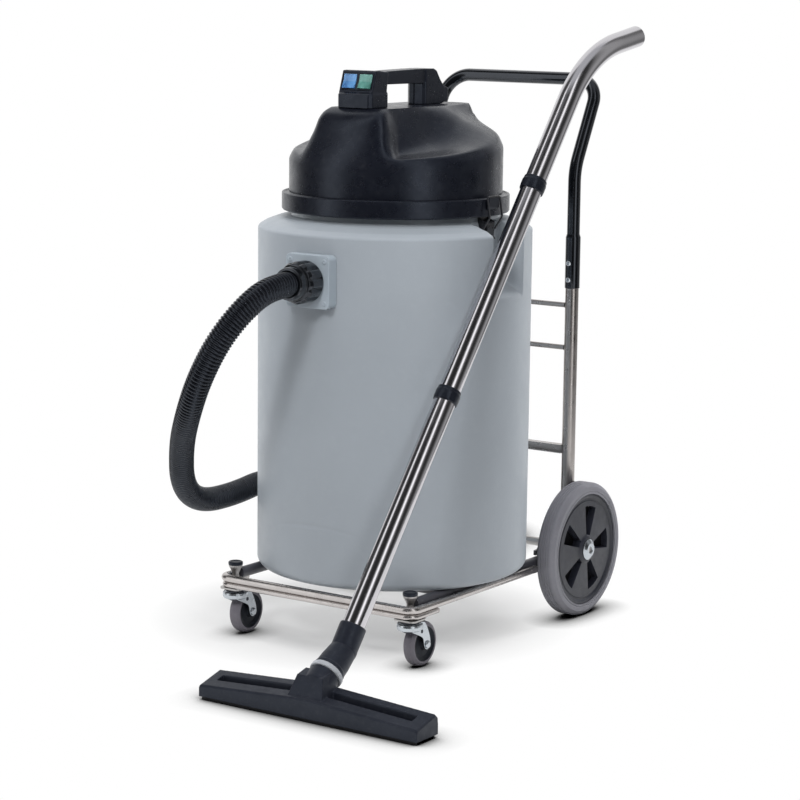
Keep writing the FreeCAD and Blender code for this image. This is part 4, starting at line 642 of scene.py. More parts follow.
def spine_edge(angle):
    """Distance from the axis to the edge of the flat spine, squarer at the front."""
    reach, power = (129.0, 10) if math.cos(angle) > 0 else (166.0, 6)
    return (abs(math.sin(angle) / SPINE_HALF) ** power + abs(math.cos(angle) / reach) ** power) ** (-1 / power)


def dome_point(angle, out, levels):
    """Point of the dome at a share of the way out from the spine's edge to the skirt."""
    nose, scoop, tail = levels
    turn = abs(math.degrees(math.atan2(math.sin(angle), math.cos(angle))))
    front = 1 - step(*NOSE_TURN, turn)
    rear = step(*TAIL_TURN, turn)
    share = nose * front + tail * rear + scoop * (1 - front - rear)
    edge = spine_edge(angle)
    r = edge + (DOME_R - edge) * out
    y = -r * math.cos(angle)
    z = DOME_EDGE + (PLATEAU - DOME_EDGE) * share + DOME_SLOPE * y * min(1.0, out * 2)
    return Vector((r * math.sin(angle), y, z))


def head_shell():
    """Cover with a flat spine, scooped flanks, an upright skirt and a rolled lip."""
    angles = [2 * math.pi * k / HEAD_COLUMNS for k in range(HEAD_COLUMNS)]
    points = [Vector((0, 0, PLATEAU))]
    for share in (0.55, 0.9):
        for a in angles:
            r = spine_edge(a) * share
            points.append(Vector((r * math.sin(a), -r * math.cos(a), PLATEAU)))
    for out in HEAD_OUTS:
        levels = [smooth_through(out, HEAD_LEVELS[:, 0], HEAD_LEVELS[:, k]) for k in (1, 2, 3)]
        points += [dome_point(a, out, levels) for a in angles]
    for drop in SKIRT_DROPS:
        for a in angles:
            y = -DOME_R * math.cos(a)
            top = DOME_EDGE + DOME_SLOPE * y - 2.0
            points.append(Vector((DOME_R * math.sin(a), y, top + (LIP_TOP - top) * drop)))
    faces = [[0, 1 + k, 1 + (k + 1) % HEAD_COLUMNS] for k in range(HEAD_COLUMNS)]
    for i in range(len(HEAD_OUTS) + len(SKIRT_DROPS) + 1):
        faces += band(1 + i * HEAD_COLUMNS, 1 + (i + 1) * HEAD_COLUMNS, HEAD_COLUMNS)
    lip = turned([
        (186, LIP_TOP, 0), (190.6, 797.4, 1.0), (192.4, 795.2, 1.0), (197.5, 795.2, 1.5), (198.6, 797.2, 1.2),
        (LIP_R, 797.2, 2.6), (LIP_R, 768.5, 1.5), (LIP_R - 2.0, 766.0, 1.5), (LIP_R - 8.0, 766.0, 1.0),
        (LIP_R - 8.0, 770.3, 0.5), (182.5, 770.3, 1.0), (182.5, 780.3, 0), (176.5, 780.3, 0), (176.5, 842, 4),
        (160.5, 854, 4), (0, 854, 0)], (0, 0, 0), UP, 240)
    piece("head_shell", *joined([(points, faces), lip]), "black_head", "head", ("head_cover",), 40.0)


# Wheels and castors

def rear_wheel(name, s):
    """Grooved tyre, rim with a matte black disc behind its windows as painted shade, and hub cap."""
    middle, axis, body = (s * WHEEL_X, WHEEL_Y, WHEEL_R), (s, 0, 0), "rear_wheel_" + name
    half = 19.0
    grooves = [(WHEEL_R - deep, c + off, 0.2) for c in (-7.5, -2.5, 2.5, 7.5)
               for deep, off in ((0, -1.0), (1.0, -0.5), (1.0, 0.5), (0, 1.0))]
    lathe("tyre_" + name, [
        (104, 0, 0), (104, -half, 0.5), (108, -half, 1.0), (117, -half, 2.0), (123.5, -half + 4.5, 5.0),
        (WHEEL_R, -half + 8, 3.0), *grooves, (WHEEL_R, half - 8, 3.0), (123.5, half - 4.5, 5.0), (117, half, 2.0),
        (109.5, half, 1.0), (108.6, half - 0.9, 0.6), (107.4, half - 0.9, 0.6), (106.5, half, 0.6), (104, half, 0.5),
    ], middle, axis, "grey_tyre", body, ("rear_tyre_" + name,), 160, True)
    rim(name, s, middle, body)
    # Matte black disc just over the window floors: painted shade standing in for the dark inside of the wheel
    low, high = WINDOW_LOW + 0.6, WINDOW_HIGH - 0.3
    lathe("window_shade_" + name, [(low, 1.1, 0), (high, 1.1, 0), (high, 1.7, 0), (low, 1.7, 0)], middle, axis,
          "deep_black", body, (), 120, True)
    lathe("cap_" + name, [
        (8.3, 0.5, 0), (8.3, 0.3, 0), (19.6, 0.3, 0.3), (19.6, 1.6, 0.6), (17.2, 3.4, 1.2), (12.6, 6.2, 1.6),
        (7.4, 6.2, 1.2), (5.4, 4.9, 0.5), (5.4, 3.9, 0),
    ], (middle[0] + s * 21.0, WHEEL_Y, WHEEL_R), axis, "bright_zinc", body, ("hub_cap_" + name,), 64, True)


# Radius and height of the rim's outer face, and its windows
RIM_MARKS = [(23, 20.3), (24.5, 19.4), (27, 17.4), (27.7, 17.2), (31, 16.8), (36, 16.6), (44, 16.3), (54, 15.9),
             (64, 15.5), (74, 15.1), (80.3, 14.8), (81.0, 14.8), (88, 14.5), (91, 14.4), (92.2, 13.2), (95.0, 13.2),
             (96.2, 14.6), (98.5, 15.9), (102.5, 16.3), (104, 15.6)]
RIM_COLUMNS = 360
WINDOWS, WINDOW_HALF, WINDOW_LOW, WINDOW_HIGH, WINDOW_FLOOR = 5, math.radians(13.5), 27.4, 80.7, 1.0


def rim(name, s, middle, body):
    """Moulded rim with wedge windows, stepped bead and dished hub, built as a polar grid."""
    first = math.radians(168 - 90 * s)
    pitch = 2 * math.pi / WINDOWS
    u, v, w = frame_of((s, 0, 0))
    points, faces = [], []
    for r, face in RIM_MARKS:
        for k in range(RIM_COLUMNS):
            a = 2 * math.pi * k / RIM_COLUMNS
            off = (a - first) % pitch
            inside = min(off, pitch - off) < WINDOW_HALF and WINDOW_LOW < r < WINDOW_HIGH
            height = WINDOW_FLOOR if inside else face
            points.append(Vector(middle) + w * height + (u * math.cos(a) + v * math.sin(a)) * r)
    for i in range(len(RIM_MARKS) - 1):
        faces += band(i * RIM_COLUMNS, (i + 1) * RIM_COLUMNS, RIM_COLUMNS)
    back = turned([
        (104, 15.6, 0), (104, -17, 0.6), (98, -17, 0.6), (98, -4, 1.5), (23, -4, 1.0), (23, -32.7, 0.6),
        (8.05, -32.7, 0.5), (8.05, 21.0, 0.5), (22, 21.0, 0.6), (23, 20.3, 0)], middle, (s, 0, 0), RIM_COLUMNS, 4)
    piece("rim_" + name, *joined([(points, faces), back]), "black_rim", body, ("rear_rim_" + name,), 34.0)


CASTOR_X, CASTOR_Y, CASTOR_TRAIL, CASTOR_R = 190.0, -217.5, 31.0, 40.0


def castor(name, s):
    """Tread and core of one castor wheel, and its fork."""
    axle = (s * CASTOR_X, CASTOR_Y + CASTOR_TRAIL, CASTOR_R)
    roll = "castor_wheel_" + name
    lathe("castor_tread_shell_" + name, both_sides(31, [(31, 11, 0.3), (34, 11, 0.8), (39, 7.5, 4.0)],
                                                   [(CASTOR_R, 0, 6.0)]),
          axle, (1, 0, 0), "grey_tread", roll, ("castor_tread_" + name,), 96, True, 6)
    lathe("castor_core_shell_" + name, both_sides(4.05, [
        (4.05, 12, 0.5), (10, 12, 1.2), (11.5, 8.2, 1.0), (22, 6.8, 2.0), (26.5, 8.5, 1.5), (29.2, 10.2, 0.8),
        (31, 10.2, 0.4)]), axle, (1, 0, 0), "castor_black", roll, ("castor_core_" + name,), 96, True)
    fork(name, s * CASTOR_X, CASTOR_Y, axle)


def leg_outline(y, axle):
    """Side view of one fork leg, marks of a smooth closed outline in (y, z)."""
    ay, az = axle[1], axle[2]
    return [(y - 13, 83), (y - 17, 76), (y - 13, 69), (y - 2, 64), (ay - 14, az + 14), (ay - 9.5, az + 1),
            (ay - 6.5, az - 5.5), (ay, az - 9), (ay + 6.5, az - 5.5), (ay + 9.5, az + 1), (ay + 8, az + 12),
            (y + 33, 66), (y + 27, 76), (y + 18, 83)]


def closed_smooth(marks, steps=5):
    """Closed Catmull-Rom curve through the marks."""
    result = []
    n = len(marks)
    for i in range(n):
        p = [np.array(marks[(i + j - 1) % n], float) for j in range(4)]
        for k in range(steps):
            t = k / steps
            result.append(0.5 * (2 * p[1] + (p[2] - p[0]) * t + (2 * p[0] - 5 * p[1] + 4 * p[2] - p[3]) * t * t
                                 + (3 * p[1] - p[0] - 3 * p[2] + p[3]) * t ** 3))
    return result


def fork(name, x, y, axle):
    """Pressed fork: dished crown over two legs that taper to the wheel bolt."""
    leg_in, leg_out = 13.5, 16.0
    meshes = [turned([
        (0, 84, 0), (18, 84, 0.8), (19.5, 82.2, 0.8), (22.4, 81.2, 1.2), (23, 77, 2.5), (21.5, 71.5, 2.5),
        (19.0, 69.5, 1.0), (18.0, 71, 0.8), (19.6, 76, 2.0), (17, 79.5, 2.0), (0, 79.5, 0)], (x, y, 0), UP, 72)]
    outline = closed_smooth(leg_outline(y, axle))
    for side, end in ((-1, "_b"), (1, "_a")):
        low = x + min(side * leg_in, side * leg_out)
        meshes.append(prism_mesh([(low, q[0], q[1]) for q in outline], (leg_out - leg_in, 0, 0)))
        meshes.append(turned([(0, 0, 0), (7, 0, 0.4), (7, 2.4, 1.6), (4, 3.4, 0.8), (0, 3.4, 0)],
                             (x + side * (leg_out - 0.1), axle[1], axle[2]), (side, 0, 0), 40, 4))
        hole = lathe_mesh([(0, 0), (3.4, 0), (3.4, 0.25), (0, 0.25)], (x + side * leg_out, y + 14, 66.5),
                          (side, 0, 0), 28)
        piece("fork_hole_" + name + end, *hole, "black_plastic", "castor_" + name)
    meshes.append(lathe_mesh([(0, -15.9), (3.9, -15.9), (3.9, 15.9), (0, 15.9)], axle, (1, 0, 0), 32))
    obj = piece("fork_" + name, *joined(meshes), "bright_zinc", "castor_" + name, ("castor_fork_" + name,), 38.0)
    bevelled(obj, 0.5, 2, 40)


CASTOR_POST = [(0, 91.0, 0), (12.5, 91.0, 1.0), (12.0, 98, 2.0), (7.0, 108, 5.0), (6.2, 115, 4.0), (8.5, 121, 4.0),
               (12.4, 128, 2.0), (12.6, 130.4, 0.5), (0, 130.4, 0)]
POST_CAP = [(0, 130.5, 0), (12.8, 130.5, 0.5), (13.2, 132.5, 1.0), (13.0, 136.0, 1.6), (10.5, 137.0, 1.0),
            (9.4, 135.8, 0.8), (6, 135.4, 1.0), (0, 135.4, 0)]
CASTOR_RACE = [(0, 84.4, 0), (17, 84.4, 0.3), (20.5, 85.0, 0.5), (21, 86.4, 0.4), (19.4, 87.3, 0.3), (0, 87.3, 0)]


def castor_mounts():
    """Posts, caps and top races over both castors."""
    for name, node, look, corners, segments, steps in (
            ("posts_shell", "castor_posts", "zinc_sheet", CASTOR_POST, 48, 6),
            ("caps_shell", "post_caps", "black_plastic", POST_CAP, 48, 5),
            ("races_shell", "castor_races", "dark_steel", CASTOR_RACE, 56, 4)):
        pair = [turned(corners, (s * CASTOR_X, CASTOR_Y, 0), UP, segments, steps) for _, s in SIDES]
        piece(name, *joined(pair), look, "trolley", (node,))


# Chassis, frame and handle

RAIL_X, RAIL_FRONT, RAIL_BACK, RAIL_Z, RAIL_CORNER = 208.3, -235.8, 162.0, 108, 18.3
ROD_BACK, ROD_Z = -159.5, 95.85
UPRIGHT_X, UPRIGHT_Y, UPRIGHT_TOP = 168.0, 338.0, 694
CROSS_REACH, CROSS_HEIGHTS = 155.2, (493.0, 573.0)


def around_front(x, back, z):
    """Corners of a bar that runs round the front of the trolley."""
    return [(-x, back, z), (-x, RAIL_FRONT, z), (x, RAIL_FRONT, z), (x, back, z)]


def chassis():
    """Rails, uprights and cross rods, and the flat parts kept from the solids."""
    corners = [RAIL_CORNER] * 2
    bar("rail_shell", around_front(RAIL_X, RAIL_BACK, RAIL_Z), corners, 14.0, "zinc_rod", "trolley", ("chassis_rail",))
    bar("front_rod_shell", around_front(RAIL_X, ROD_BACK, ROD_Z), corners, 10.0, "zinc_rod", "trolley", ("front_rod",),
        0.6, 24)
    # The base tubes take a dark grey as painted shade of the drum over them; the axle brackets wear the same dark grey
    for node, look, width in (("base_tubes", "dark_tube", 0.6), ("corner_plates", "zinc_sheet", 0.6),
                              ("cross_bar", "steel_tube", 0.6), ("axle_brackets", "dark_tube", 0.8),
                              ("axle", "zinc_sheet", 0.8), ("drum_bracket", "zinc_sheet", 0.6)):
        bevelled(dressed(node, look), width, 2)
    posts = [turned([(0, 100, 0), (12.5, 100, 1.0), (12.5, UPRIGHT_TOP, 1.0), (0, UPRIGHT_TOP, 0)],
                    (s * UPRIGHT_X, UPRIGHT_Y, 0), UP, 48, 4) for _, s in SIDES]
    piece("uprights_shell", *joined(posts), "steel_tube", "trolley", ("rear_uprights",))
    ends = (-CROSS_REACH, -CROSS_REACH + 1, CROSS_REACH - 1, CROSS_REACH)
    rods = [sweep_mesh([(x, UPRIGHT_Y, z) for x in ends], [6.2, 4.75, 4.75, 6.2], 24) for z in CROSS_HEIGHTS]
    piece("cross_rods_shell", *joined(rods), "steel_tube", "trolley", ("cross_rods",))


def push_handle():
    """Bent bar with a sleeve over each upright and two bolt heads in each sleeve."""
    x, y, foot, knee, bar_y, bar_z = UPRIGHT_X, UPRIGHT_Y, 666, 827, 421, 989
    half = [(x, y, foot), (x, y, knee), (x, bar_y, bar_z)]
    route = rounded_path([(-px, py, pz) for px, py, pz in half] + half[::-1], [100, 48, 48, 100], 3.0)
    sleeve = [(12.7, 640, 0), (12.7, 606, 0.5), (14, 606, 1.0), (14, 701, 1.5), (12.0, 707, 1.0), (11.8, 712, 0),
              (11.8, 690, 0)]
    bolt = [(0, 0, 0), (5.0, 0, 0.2), (4.8, 1.6, 0.8), (3.0, 3.4, 1.2), (1.7, 3.5, 0.2), (1.6, 2.2, 0.1), (0, 2.1, 0)]
    sleeves = [turned(sleeve, (s * x, y, 0), UP, 48, 4, True) for _, s in SIDES]
    heads = [turned(bolt, (s * x, y - 14.3, z), (0, -1, 0), 36) for _, s in SIDES for z in (622, 653)]
    piece("push_handle_shell", *joined([sweep_mesh(route, [12.0] * len(route), 40), *sleeves]), "black_gloss",
          "trolley", ("push_handle",))
    piece("handle_bolts_shell", *joined(heads), "bright_zinc", "trolley", ("handle_bolts",))


# Inlet

INLET_Y, INLET_Z, SCREW_REACH = -263.3, 661, 36
FORWARD = (0, -1, 0)


def inlet():
    """Flange with its four screws, and the nut."""
    softened(dressed("inlet_flange", "grey_moulding"), 0.9, 3)
    screw = [(0, 0, 0), (4.6, 0, 0.2), (4.4, 1.2, 0.8), (1.6, 1.7, 0.3), (1.4, 0.7, 0.1), (0, 0.7, 0)]
    screws = [turned(screw, (x, INLET_Y + 0.4, INLET_Z + z), FORWARD, 28, 4)
              for x in (-SCREW_REACH, SCREW_REACH) for z in (-SCREW_REACH, SCREW_REACH)]
    piece("flange_screws", *joined(screws), "grey_moulding", "trolley")
    nut()


def nut():
    """Glossy nut: twelve broad lobes with grooves between, and a stepped collar."""
    lobes, groove_depth, low, high = 12, 3.4, 1.5, 38.2
    profile = filleted([
        (24, 0, 0), (33.0, 0, 1.0), (36.0, 1.5, 1.5), (36.8, 6, 2.0), (36.8, 31, 4.0), (33.0, 37.5, 3.0),
        (29.6, 38.5, 1.0), (29.2, 41, 1.0), (28.6, 52, 1.5), (27.4, 55.6, 1.2), (23.4, 55.9, 0.8), (22.9, 54, 0)], 5)

    def shape(index, r, h, t):
        if h < low or h > high or r < 29.7:
            return r
        groove = (0.5 - 0.5 * math.cos(lobes * t)) ** 3
        ease = min(1, (h - low) / 5) * min(1, (high - h) / 6)
        return r - groove_depth * groove * max(0, ease)

    place = (0, INLET_Y, INLET_Z)
    outer = lathe_mesh(profile, place, FORWARD, 288, False, shape)
    inner = lathe_mesh([(22.9, 54), (22.9, 39.7), (25.05, 39.7), (25.05, 0.0), (26, 0)], place, FORWARD, 72)
    piece("nut_shell", *joined([outer, inner]), "black_gloss", "inlet_nut", ("coupling_nut",), 40.0)


# Head fittings

PANEL_LOW, PANEL_HIGH = Vector((0, -126, 977)), Vector((0, -114, 1014))
DECK, LEDGE, HOUSING_TOP = 950.2, 973.0, 1013.5


def switch_head():
    """Leaning head of the switch box, with the pocket that holds the rockers."""
    half, pocket_half, pocket_height, pocket_depth = 35.5, 31.25, 30.5, 15.0
    up = (PANEL_HIGH - PANEL_LOW).normalized()
    inward = Vector((0, up.z, -up.y))
    rise = ((PANEL_HIGH - PANEL_LOW).length - pocket_height) / 2
    outline = [(-126.4, LEDGE - 3), PANEL_LOW.yz, PANEL_HIGH.yz, (-104, 1014.5), (-77, 1011), (-82.5, LEDGE - 3)]
    n = len(outline)
    points = [Vector((x, y, z)) for x in (-half, half) for y, z in outline]
    faces = [list(range(n)), list(range(n, 2 * n))[::-1]]
    faces += [[i, n + i, n + (i + 1) % n, (i + 1) % n] for i in range(n) if i != 1]
    corners = ((-pocket_half, 0), (pocket_half, 0), (pocket_half, pocket_height), (-pocket_half, pocket_height))
    mouth = [PANEL_LOW + up * (rise + h) + Vector((x, 0, 0)) for x, h in corners]
    points += mouth + [q + inward * pocket_depth for q in mouth]
    a = 2 * n
    edge = [1, n + 1, n + 2, 2]
    for k in range(4):
        m = (k + 1) % 4
        faces += [[edge[k], edge[m], a + m, a + k], [a + k, a + m, a + 4 + m, a + 4 + k]]
    return points, faces + [[a + 4, a + 5, a + 6, a + 7]]


def handle_housing():
    """Switch box with chamfered corners, narrow grip over the finger window, and rear block that tapers back."""
    def across(half, outline):
        return prism_mesh([(-half, y, z) for y, z in outline], (2 * half, 0, 0))

    def upright(plan, top):
        return prism_mesh([(x, y, DECK) for x, y in plan], (0, 0, top - DECK))

    base = [(-36.5, -80), (-36.5, -127), (-31, -132.5), (31, -132.5), (36.5, -127), (36.5, -80)]
    ledge = [(-35.5, -80), (-35.5, -122), (-31, -126.4), (31, -126.4), (35.5, -122), (35.5, -80)]
    grip = [(-85, 989), (-85, 1010.5), (-36, 1012.2), (37, HOUSING_TOP), (66, HOUSING_TOP), (66, 988)]
    rear = [(63, DECK), (63, HOUSING_TOP), (88, 1013.4), (97, 1009), (108, 994), (118, 983.5), (128, 979.2),
            (134, 978.5), (134, 957), (114, DECK)]
    meshes = [
        upright(base, LEDGE), loft_mesh([(x, y, LEDGE) for x, y in base], [(x, y, PANEL_LOW.z) for x, y in ledge]),
        switch_head(), across(17, grip), across(20, rear),
        upright([(-5, 46), (5, 46), (15, 56), (20, 64), (-20, 64), (-15, 56)], 990),
    ]
    softened(piece("handle_housing", *joined(meshes), "black_head", "head", ("carry_handle",)), 0.9, 4)


def head_fittings():
    """Handle, keepers, rockers and cable gland, and what the cover hides."""
    handle_housing()
    softened(dressed("clamp_keepers", "black_plastic"), 0.8, 3)
    for node, look in (("switch_panel", "black_plastic"), ("lid_seal", "black_rubber"),
                       ("motor_plate", "black_plastic"), ("motor_housings", "motor_case"),
                       ("float_cage", "black_plastic"), ("float_body", "float_plastic"),
                       ("rotor_front", "rotor_metal"), ("rotor_rear", "rotor_metal")):
        dressed(node, look)
    for node, look in (("rocker_blue", "blue_rocker"), ("rocker_green", "green_rocker")):
        bevelled(dressed(node, look), 0.9, 3)
    lathe("gland_shell", [
        (4.2, 10, 0), (4.2, 0, 0.2), (8.5, 0, 0.5), (8.5, 4.6, 0.8), (6.4, 5.2, 0.4), (6.4, 7.4, 0.3), (5.6, 8.0, 0.3),
        (5.6, 9.4, 0.3), (6.1, 10, 0.3), (6.0, 12, 0.3), (5.3, 12.6, 0.3), (5.3, 14, 0.3), (5.8, 14.6, 0.3),
        (5.7, 16.4, 0.3), (5.1, 17, 0.3), (5.1, 18.4, 0.3), (5.6, 19, 0.3), (5.5, 22, 0.6), (4.2, 22, 0.3),
    ], (0, 134.3, 968), (0, 1, 0), "black_rubber", "head", ("cable_gland",), 40, True, 3)


def clamps():
    """Clamp bases and levers, and a bent wire for each bail."""
    bevelled(dressed("clamp_bases", "black_steel"), 0.5, 2)
    wire, out, reach, top = 1.8, 197.0, (LIP_R + 208) / 2 + 1, 800.85
    for name, s in SIDES:
        bevelled(dressed("clamp_lever_" + name, "black_steel"), 0.8, 2)
        half = [[(s * out, e * 4, 743), (s * out, e * 20, 743), (s * 212, e * 20, 765), (s * reach, e * 20, top)]
                for e in (-1, 1)]
        route = rounded_path(half[0] + half[1][::-1], [2.6, 6, 5, 5, 6, 2.6], 12.0)
        points, faces = sweep_mesh(route, [wire] * len(route), 16)
        piece("bail_wire_" + name, points, faces, "black_steel", "bail_" + name, ("bail_" + name,), 60.0)


# Wand and floor tool

FOOT = Vector((235.7, -439.2, 143.5))
HEADING = (Vector((279.0, 109.7, 948.9)) - FOOT).normalized()
KNEE = FOOT - HEADING * 58
NECK = Vector((0, math.cos(math.radians(32)), math.sin(math.radians(32))))
RING = KNEE - NECK * 55
WAND_R, WAND_BORE, WAND_COLUMNS = 19.0, 17.5, 72
TUBE_ENDS = (("lower", -44.0, 409.7), ("upper", 410.0, 821.7))
COLLARS = (410.0, 822.0)
BEND_R, BEND_ANGLE, BEND_LEAD, BEND_TAIL = 230, math.radians(45), 174, 60
TAB_SIDE = Vector((0.82, -0.57, 0))


def wand_bend():
    """Open tube with a wall, straight and then bent towards the hand."""
    begin = FOOT + HEADING * COLLARS[1]
    back = BEND_R * math.tan(BEND_ANGLE / 2)
    knee = begin + HEADING * (BEND_LEAD + back)
    level = Vector((HEADING.x, HEADING.y, 0)).normalized()
    climb = math.asin(HEADING.z) - BEND_ANGLE
    leaving = level * math.cos(climb) + Vector(UP) * math.sin(climb)
    route = rounded_path([begin, knee, knee + leaving * (back + BEND_TAIL)], [BEND_R], 2.0)
    outer = sweep_mesh(route, [WAND_R] * len(route), WAND_COLUMNS, False)
    inner = sweep_mesh(route, [WAND_BORE] * len(route), WAND_COLUMNS, False)
    count = len(route) * WAND_COLUMNS
    last = count - WAND_COLUMNS
    faces = outer[1] + [[c + count for c in f][::-1] for f in inner[1]]
    faces += band(0, count, WAND_COLUMNS) + band(last, count + last, WAND_COLUMNS, True)
    piece("wand_bend_tube", outer[0] + inner[0], faces, "polished_steel", "wand", ("wand_bend",))


def wand():
    """Two tubes, the bent top and a collar with its tab over each joint."""
    for name, low, high in TUBE_ENDS:
        lathe("wand_" + name + "_tube", [
            (WAND_BORE, (low + high) / 2, 0), (WAND_BORE, low, 0.2), (WAND_R, low, 0.4), (WAND_R, high, 0.4),
            (WAND_BORE, high, 0.2),
        ], FOOT, HEADING, "polished_steel", "wand", ("wand_" + name,), WAND_COLUMNS, True)
    wand_bend()
    grip = WAND_R + 0.05
    side = (TAB_SIDE - HEADING * TAB_SIDE.dot(HEADING)).normalized()
    across = HEADING.cross(side)
    collars = [turned([
        (grip, d, 0), (grip, d - 12, 0.3), (20.8, d - 12, 0.6), (21.4, d - 10, 0.8), (21.75, d - 4, 1.0),
        (21.75, d + 4, 1.0), (21.2, d + 6.5, 0.6), (20.6, d + 7, 0.3), (20.6, d + 12, 0.6), (grip, d + 12, 0.3),
    ], FOOT, HEADING, 64, 4, True) for d in COLLARS]
    for d in COLLARS:
        corners = [FOOT + HEADING * (d - 2) + side * 19.6 + across * a + HEADING * b
                   for a, b in ((-5, -9), (5, -9), (5, 7), (-5, 7))]
        collars.append(prism_mesh(corners, side * 2.6))
    piece("collars_shell", *joined(collars), "black_plastic", "wand", ("wand_collars",))


def elbow():
    """Rotating cuff: neck part, knuckle and the socket for the wand; and the ring that it turns in."""
    low = RING + NECK * 4.8
    run = (KNEE - low).length
    grip, knuckle_r = WAND_R + 0.05, 23
    neck = turned([
        (18, 2, 0), (18, 0, 0.3), (26.5, 0, 1.2), (27, 5.5, 1.5), (26, 8, 1.5), (25.6, run * 0.45, 6),
        (23.0, run * 0.92, 8), (18, run + 10, 0)], low, NECK, 72, 6)
    arc = [math.radians(a) for a in range(-90, 91, 9)]
    knuckle = lathe_mesh([(knuckle_r * math.cos(a), knuckle_r * math.sin(a)) for a in arc], KNEE, HEADING, 72)
    socket = turned([(grip, 20, 0), (grip, 44, 0.3), (21.6, 44, 0.9), (22.5, 42, 1.5), (22.6, 30, 2.0), (22.5, 0, 6.0),
                     (20.5, -6, 0)], KNEE, HEADING, 72)
    piece("elbow_shell", *joined([neck, knuckle, socket]), "tool_plastic", "wand", ("tool_elbow",), 40.0)
    lathe("ring_shell", both_sides(18, [(18, 4.5, 0.3), (27.4, 4.5, 0.8), (29, 3.4, 1.2)]), RING, NECK, "grey_ring",
          "floor_tool", ("swivel_ring",), 72, True)


def tool_wings(middle):
    """Roofed body of the floor tool with its two sunk slots, closed down to the skirt."""
    half, front, back, skirt = 217.0, -577.0, -517.0, 5.0
    slot_front, slot_back, slot_depth = -555.0, -539.5, 14.0
    slots = [(middle - 195, middle - 31), (middle + 27, middle + 192)]
    wall = 0.5
    xs = sorted([middle - half, middle - half + 3, middle, middle + half - 3, middle + half]
                + [edge + e * wall for slot in slots for edge in slot for e in (-1, 1)])
    ys = [front, front + 2.5, slot_front - wall, slot_front + wall, slot_back - wall, slot_back + wall,
          back - 7, back - 1.5, back]

    def top(x, y):
        height = 25 + 13 * (1 - abs(x - middle) / half) + 14 * (min(y, back - 6) - front - 2) / 52
        height -= 2.5 * (y < front + 1) + 5 * (y > back - 2) + 12 * (y > back - 1) + 2 * (abs(x - middle) > half - 1)
        sunk = slot_front < y < slot_back and any(a < x < b for a, b in slots)
        return height - slot_depth * sunk

    rows, columns = len(xs), len(ys)
    points = [Vector((x, y, top(x, y))) for x in xs for y in ys] + [Vector((x, y, skirt)) for x in xs for y in ys]
    count = rows * columns
    faces = []
    for i in range(rows - 1):
        for k in range(columns - 1):
            a = i * columns + k
            faces.append([a, a + columns, a + columns + 1, a + 1])
            faces.append([count + c for c in (a, a + 1, a + columns + 1, a + columns)])
    ring = list(range(columns)) + [i * columns + columns - 1 for i in range(1, rows)]
    ring += [(rows - 1) * columns + k for k in range(columns - 2, -1, -1)]
    ring += [i * columns for i in range(rows - 2, 0, -1)]
    faces += [[a, b, count + b, count + a] for a, b in zip(ring, ring[1:] + ring[:1])]
    return points, faces


def floor_tool():
    """Wings, saddle and stem moulded in one, over the rubber blades."""
    low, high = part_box("tool_body")
    middle = ((low.x + high.x) / 2 - ORIGIN.x) * 1000
    saddle = loft_mesh(
        [(middle + x, y, 22) for x, y in ((-44, -575.5), (33, -575.5), (33, -521), (-44, -521))],
        [(middle + x, y, z) for x, y, z in ((-30, -557, 70), (21, -557, 70), (21, -533, 76), (-30, -533, 76))])
    stem = lathe_mesh([(0, 0), (24, 0), (26, 2), (26, 26.2), (0, 26.2)], RING - NECK * 31, NECK, 72)
    shell = joined([tool_wings(middle), saddle, stem])
    softened(piece("tool_shell", *shell, "tool_plastic", "floor_tool", ("tool_body",)), 0.9, 3)
    bevelled(dressed("tool_blades", "black_rubber"), 0.5, 2)


# Camera, floor and light

# Angles in degrees, distance and target height in millimetres, focal length in pixels of the 800-pixel picture
CAMERA_AZ, CAMERA_EL, CAMERA_ROLL = 34.5176, 9.5611, 0.6765
CAMERA_DISTANCE, TARGET_RIGHT, TARGET_Z = 4606.41, 11.7795, 421.282
FOCAL_PIXELS, PICTURE_PIXELS, SENSOR_WIDTH = 2552.819, 800, 36


def camera():
    az, el, roll = math.radians(CAMERA_AZ), math.radians(CAMERA_EL), math.radians(CAMERA_ROLL)
    back = Vector((math.sin(az) * math.cos(el), -math.cos(az) * math.cos(el), math.sin(el)))
    level = Vector((math.cos(az), math.sin(az), 0))
    up = back.cross(level)
    right, up = level * math.cos(roll) + up * math.sin(roll), up * math.cos(roll) - level * math.sin(roll)
    target = level * TARGET_RIGHT + Vector((0, 0, TARGET_Z))
    data = bpy.data.cameras.new("camera")
    data.lens = FOCAL_PIXELS / PICTURE_PIXELS * SENSOR_WIDTH
    data.sensor_width = SENSOR_WIDTH
    data.clip_end = 50
    obj = bpy.data.objects.new("camera", data)
    bpy.context.scene.collection.objects.link(obj)
    matrix = Matrix((right, up, back)).transposed().to_4x4()
    matrix.translation = at(*(target + back * CAMERA_DISTANCE))
    obj.matrix_world = matrix
    bpy.context.scene.camera = obj


AIM = (0, 0, 450)


def area(name, turn, rise, distance, size, power):
    """Softbox placed by its angle from the camera towards the right, and its height angle."""
    data = bpy.data.lights.new(name, "AREA")
    data.shape = "RECTANGLE"
    data.size, data.size_y = size
    data.energy = power
    obj = bpy.data.objects.new(name, data)
    bpy.context.scene.collection.objects.link(obj)
    around, up = math.radians(CAMERA_AZ + turn), math.radians(rise)
    target = at(*AIM)
    spot = target + Vector((math.sin(around) * math.cos(up), -math.cos(around) * math.cos(up), math.sin(up))) * distance
    obj.matrix_world = Matrix.Translation(spot) @ (target - spot).to_track_quat("-Z", "Y").to_matrix().to_4x4()
    obj.visible_glossy = False


# Share of steady glow in the floor under the machine, the grey of the painted shade there, and where that shade starts
# and ends its fade to white, in metres
FLOOR_SHARE, SHADE_TONE, FADE_START, FADE_END = 0.60, 0.64, 0.22, 0.40
# Place of the middle of the painted shade beside the drum axis, and how near a piece darkens the floor with painted
# contact shadow, in metres
SHADE_SHIFT, CONTACT_SHADOW_REACH = (-0.085, 0.035), 0.06


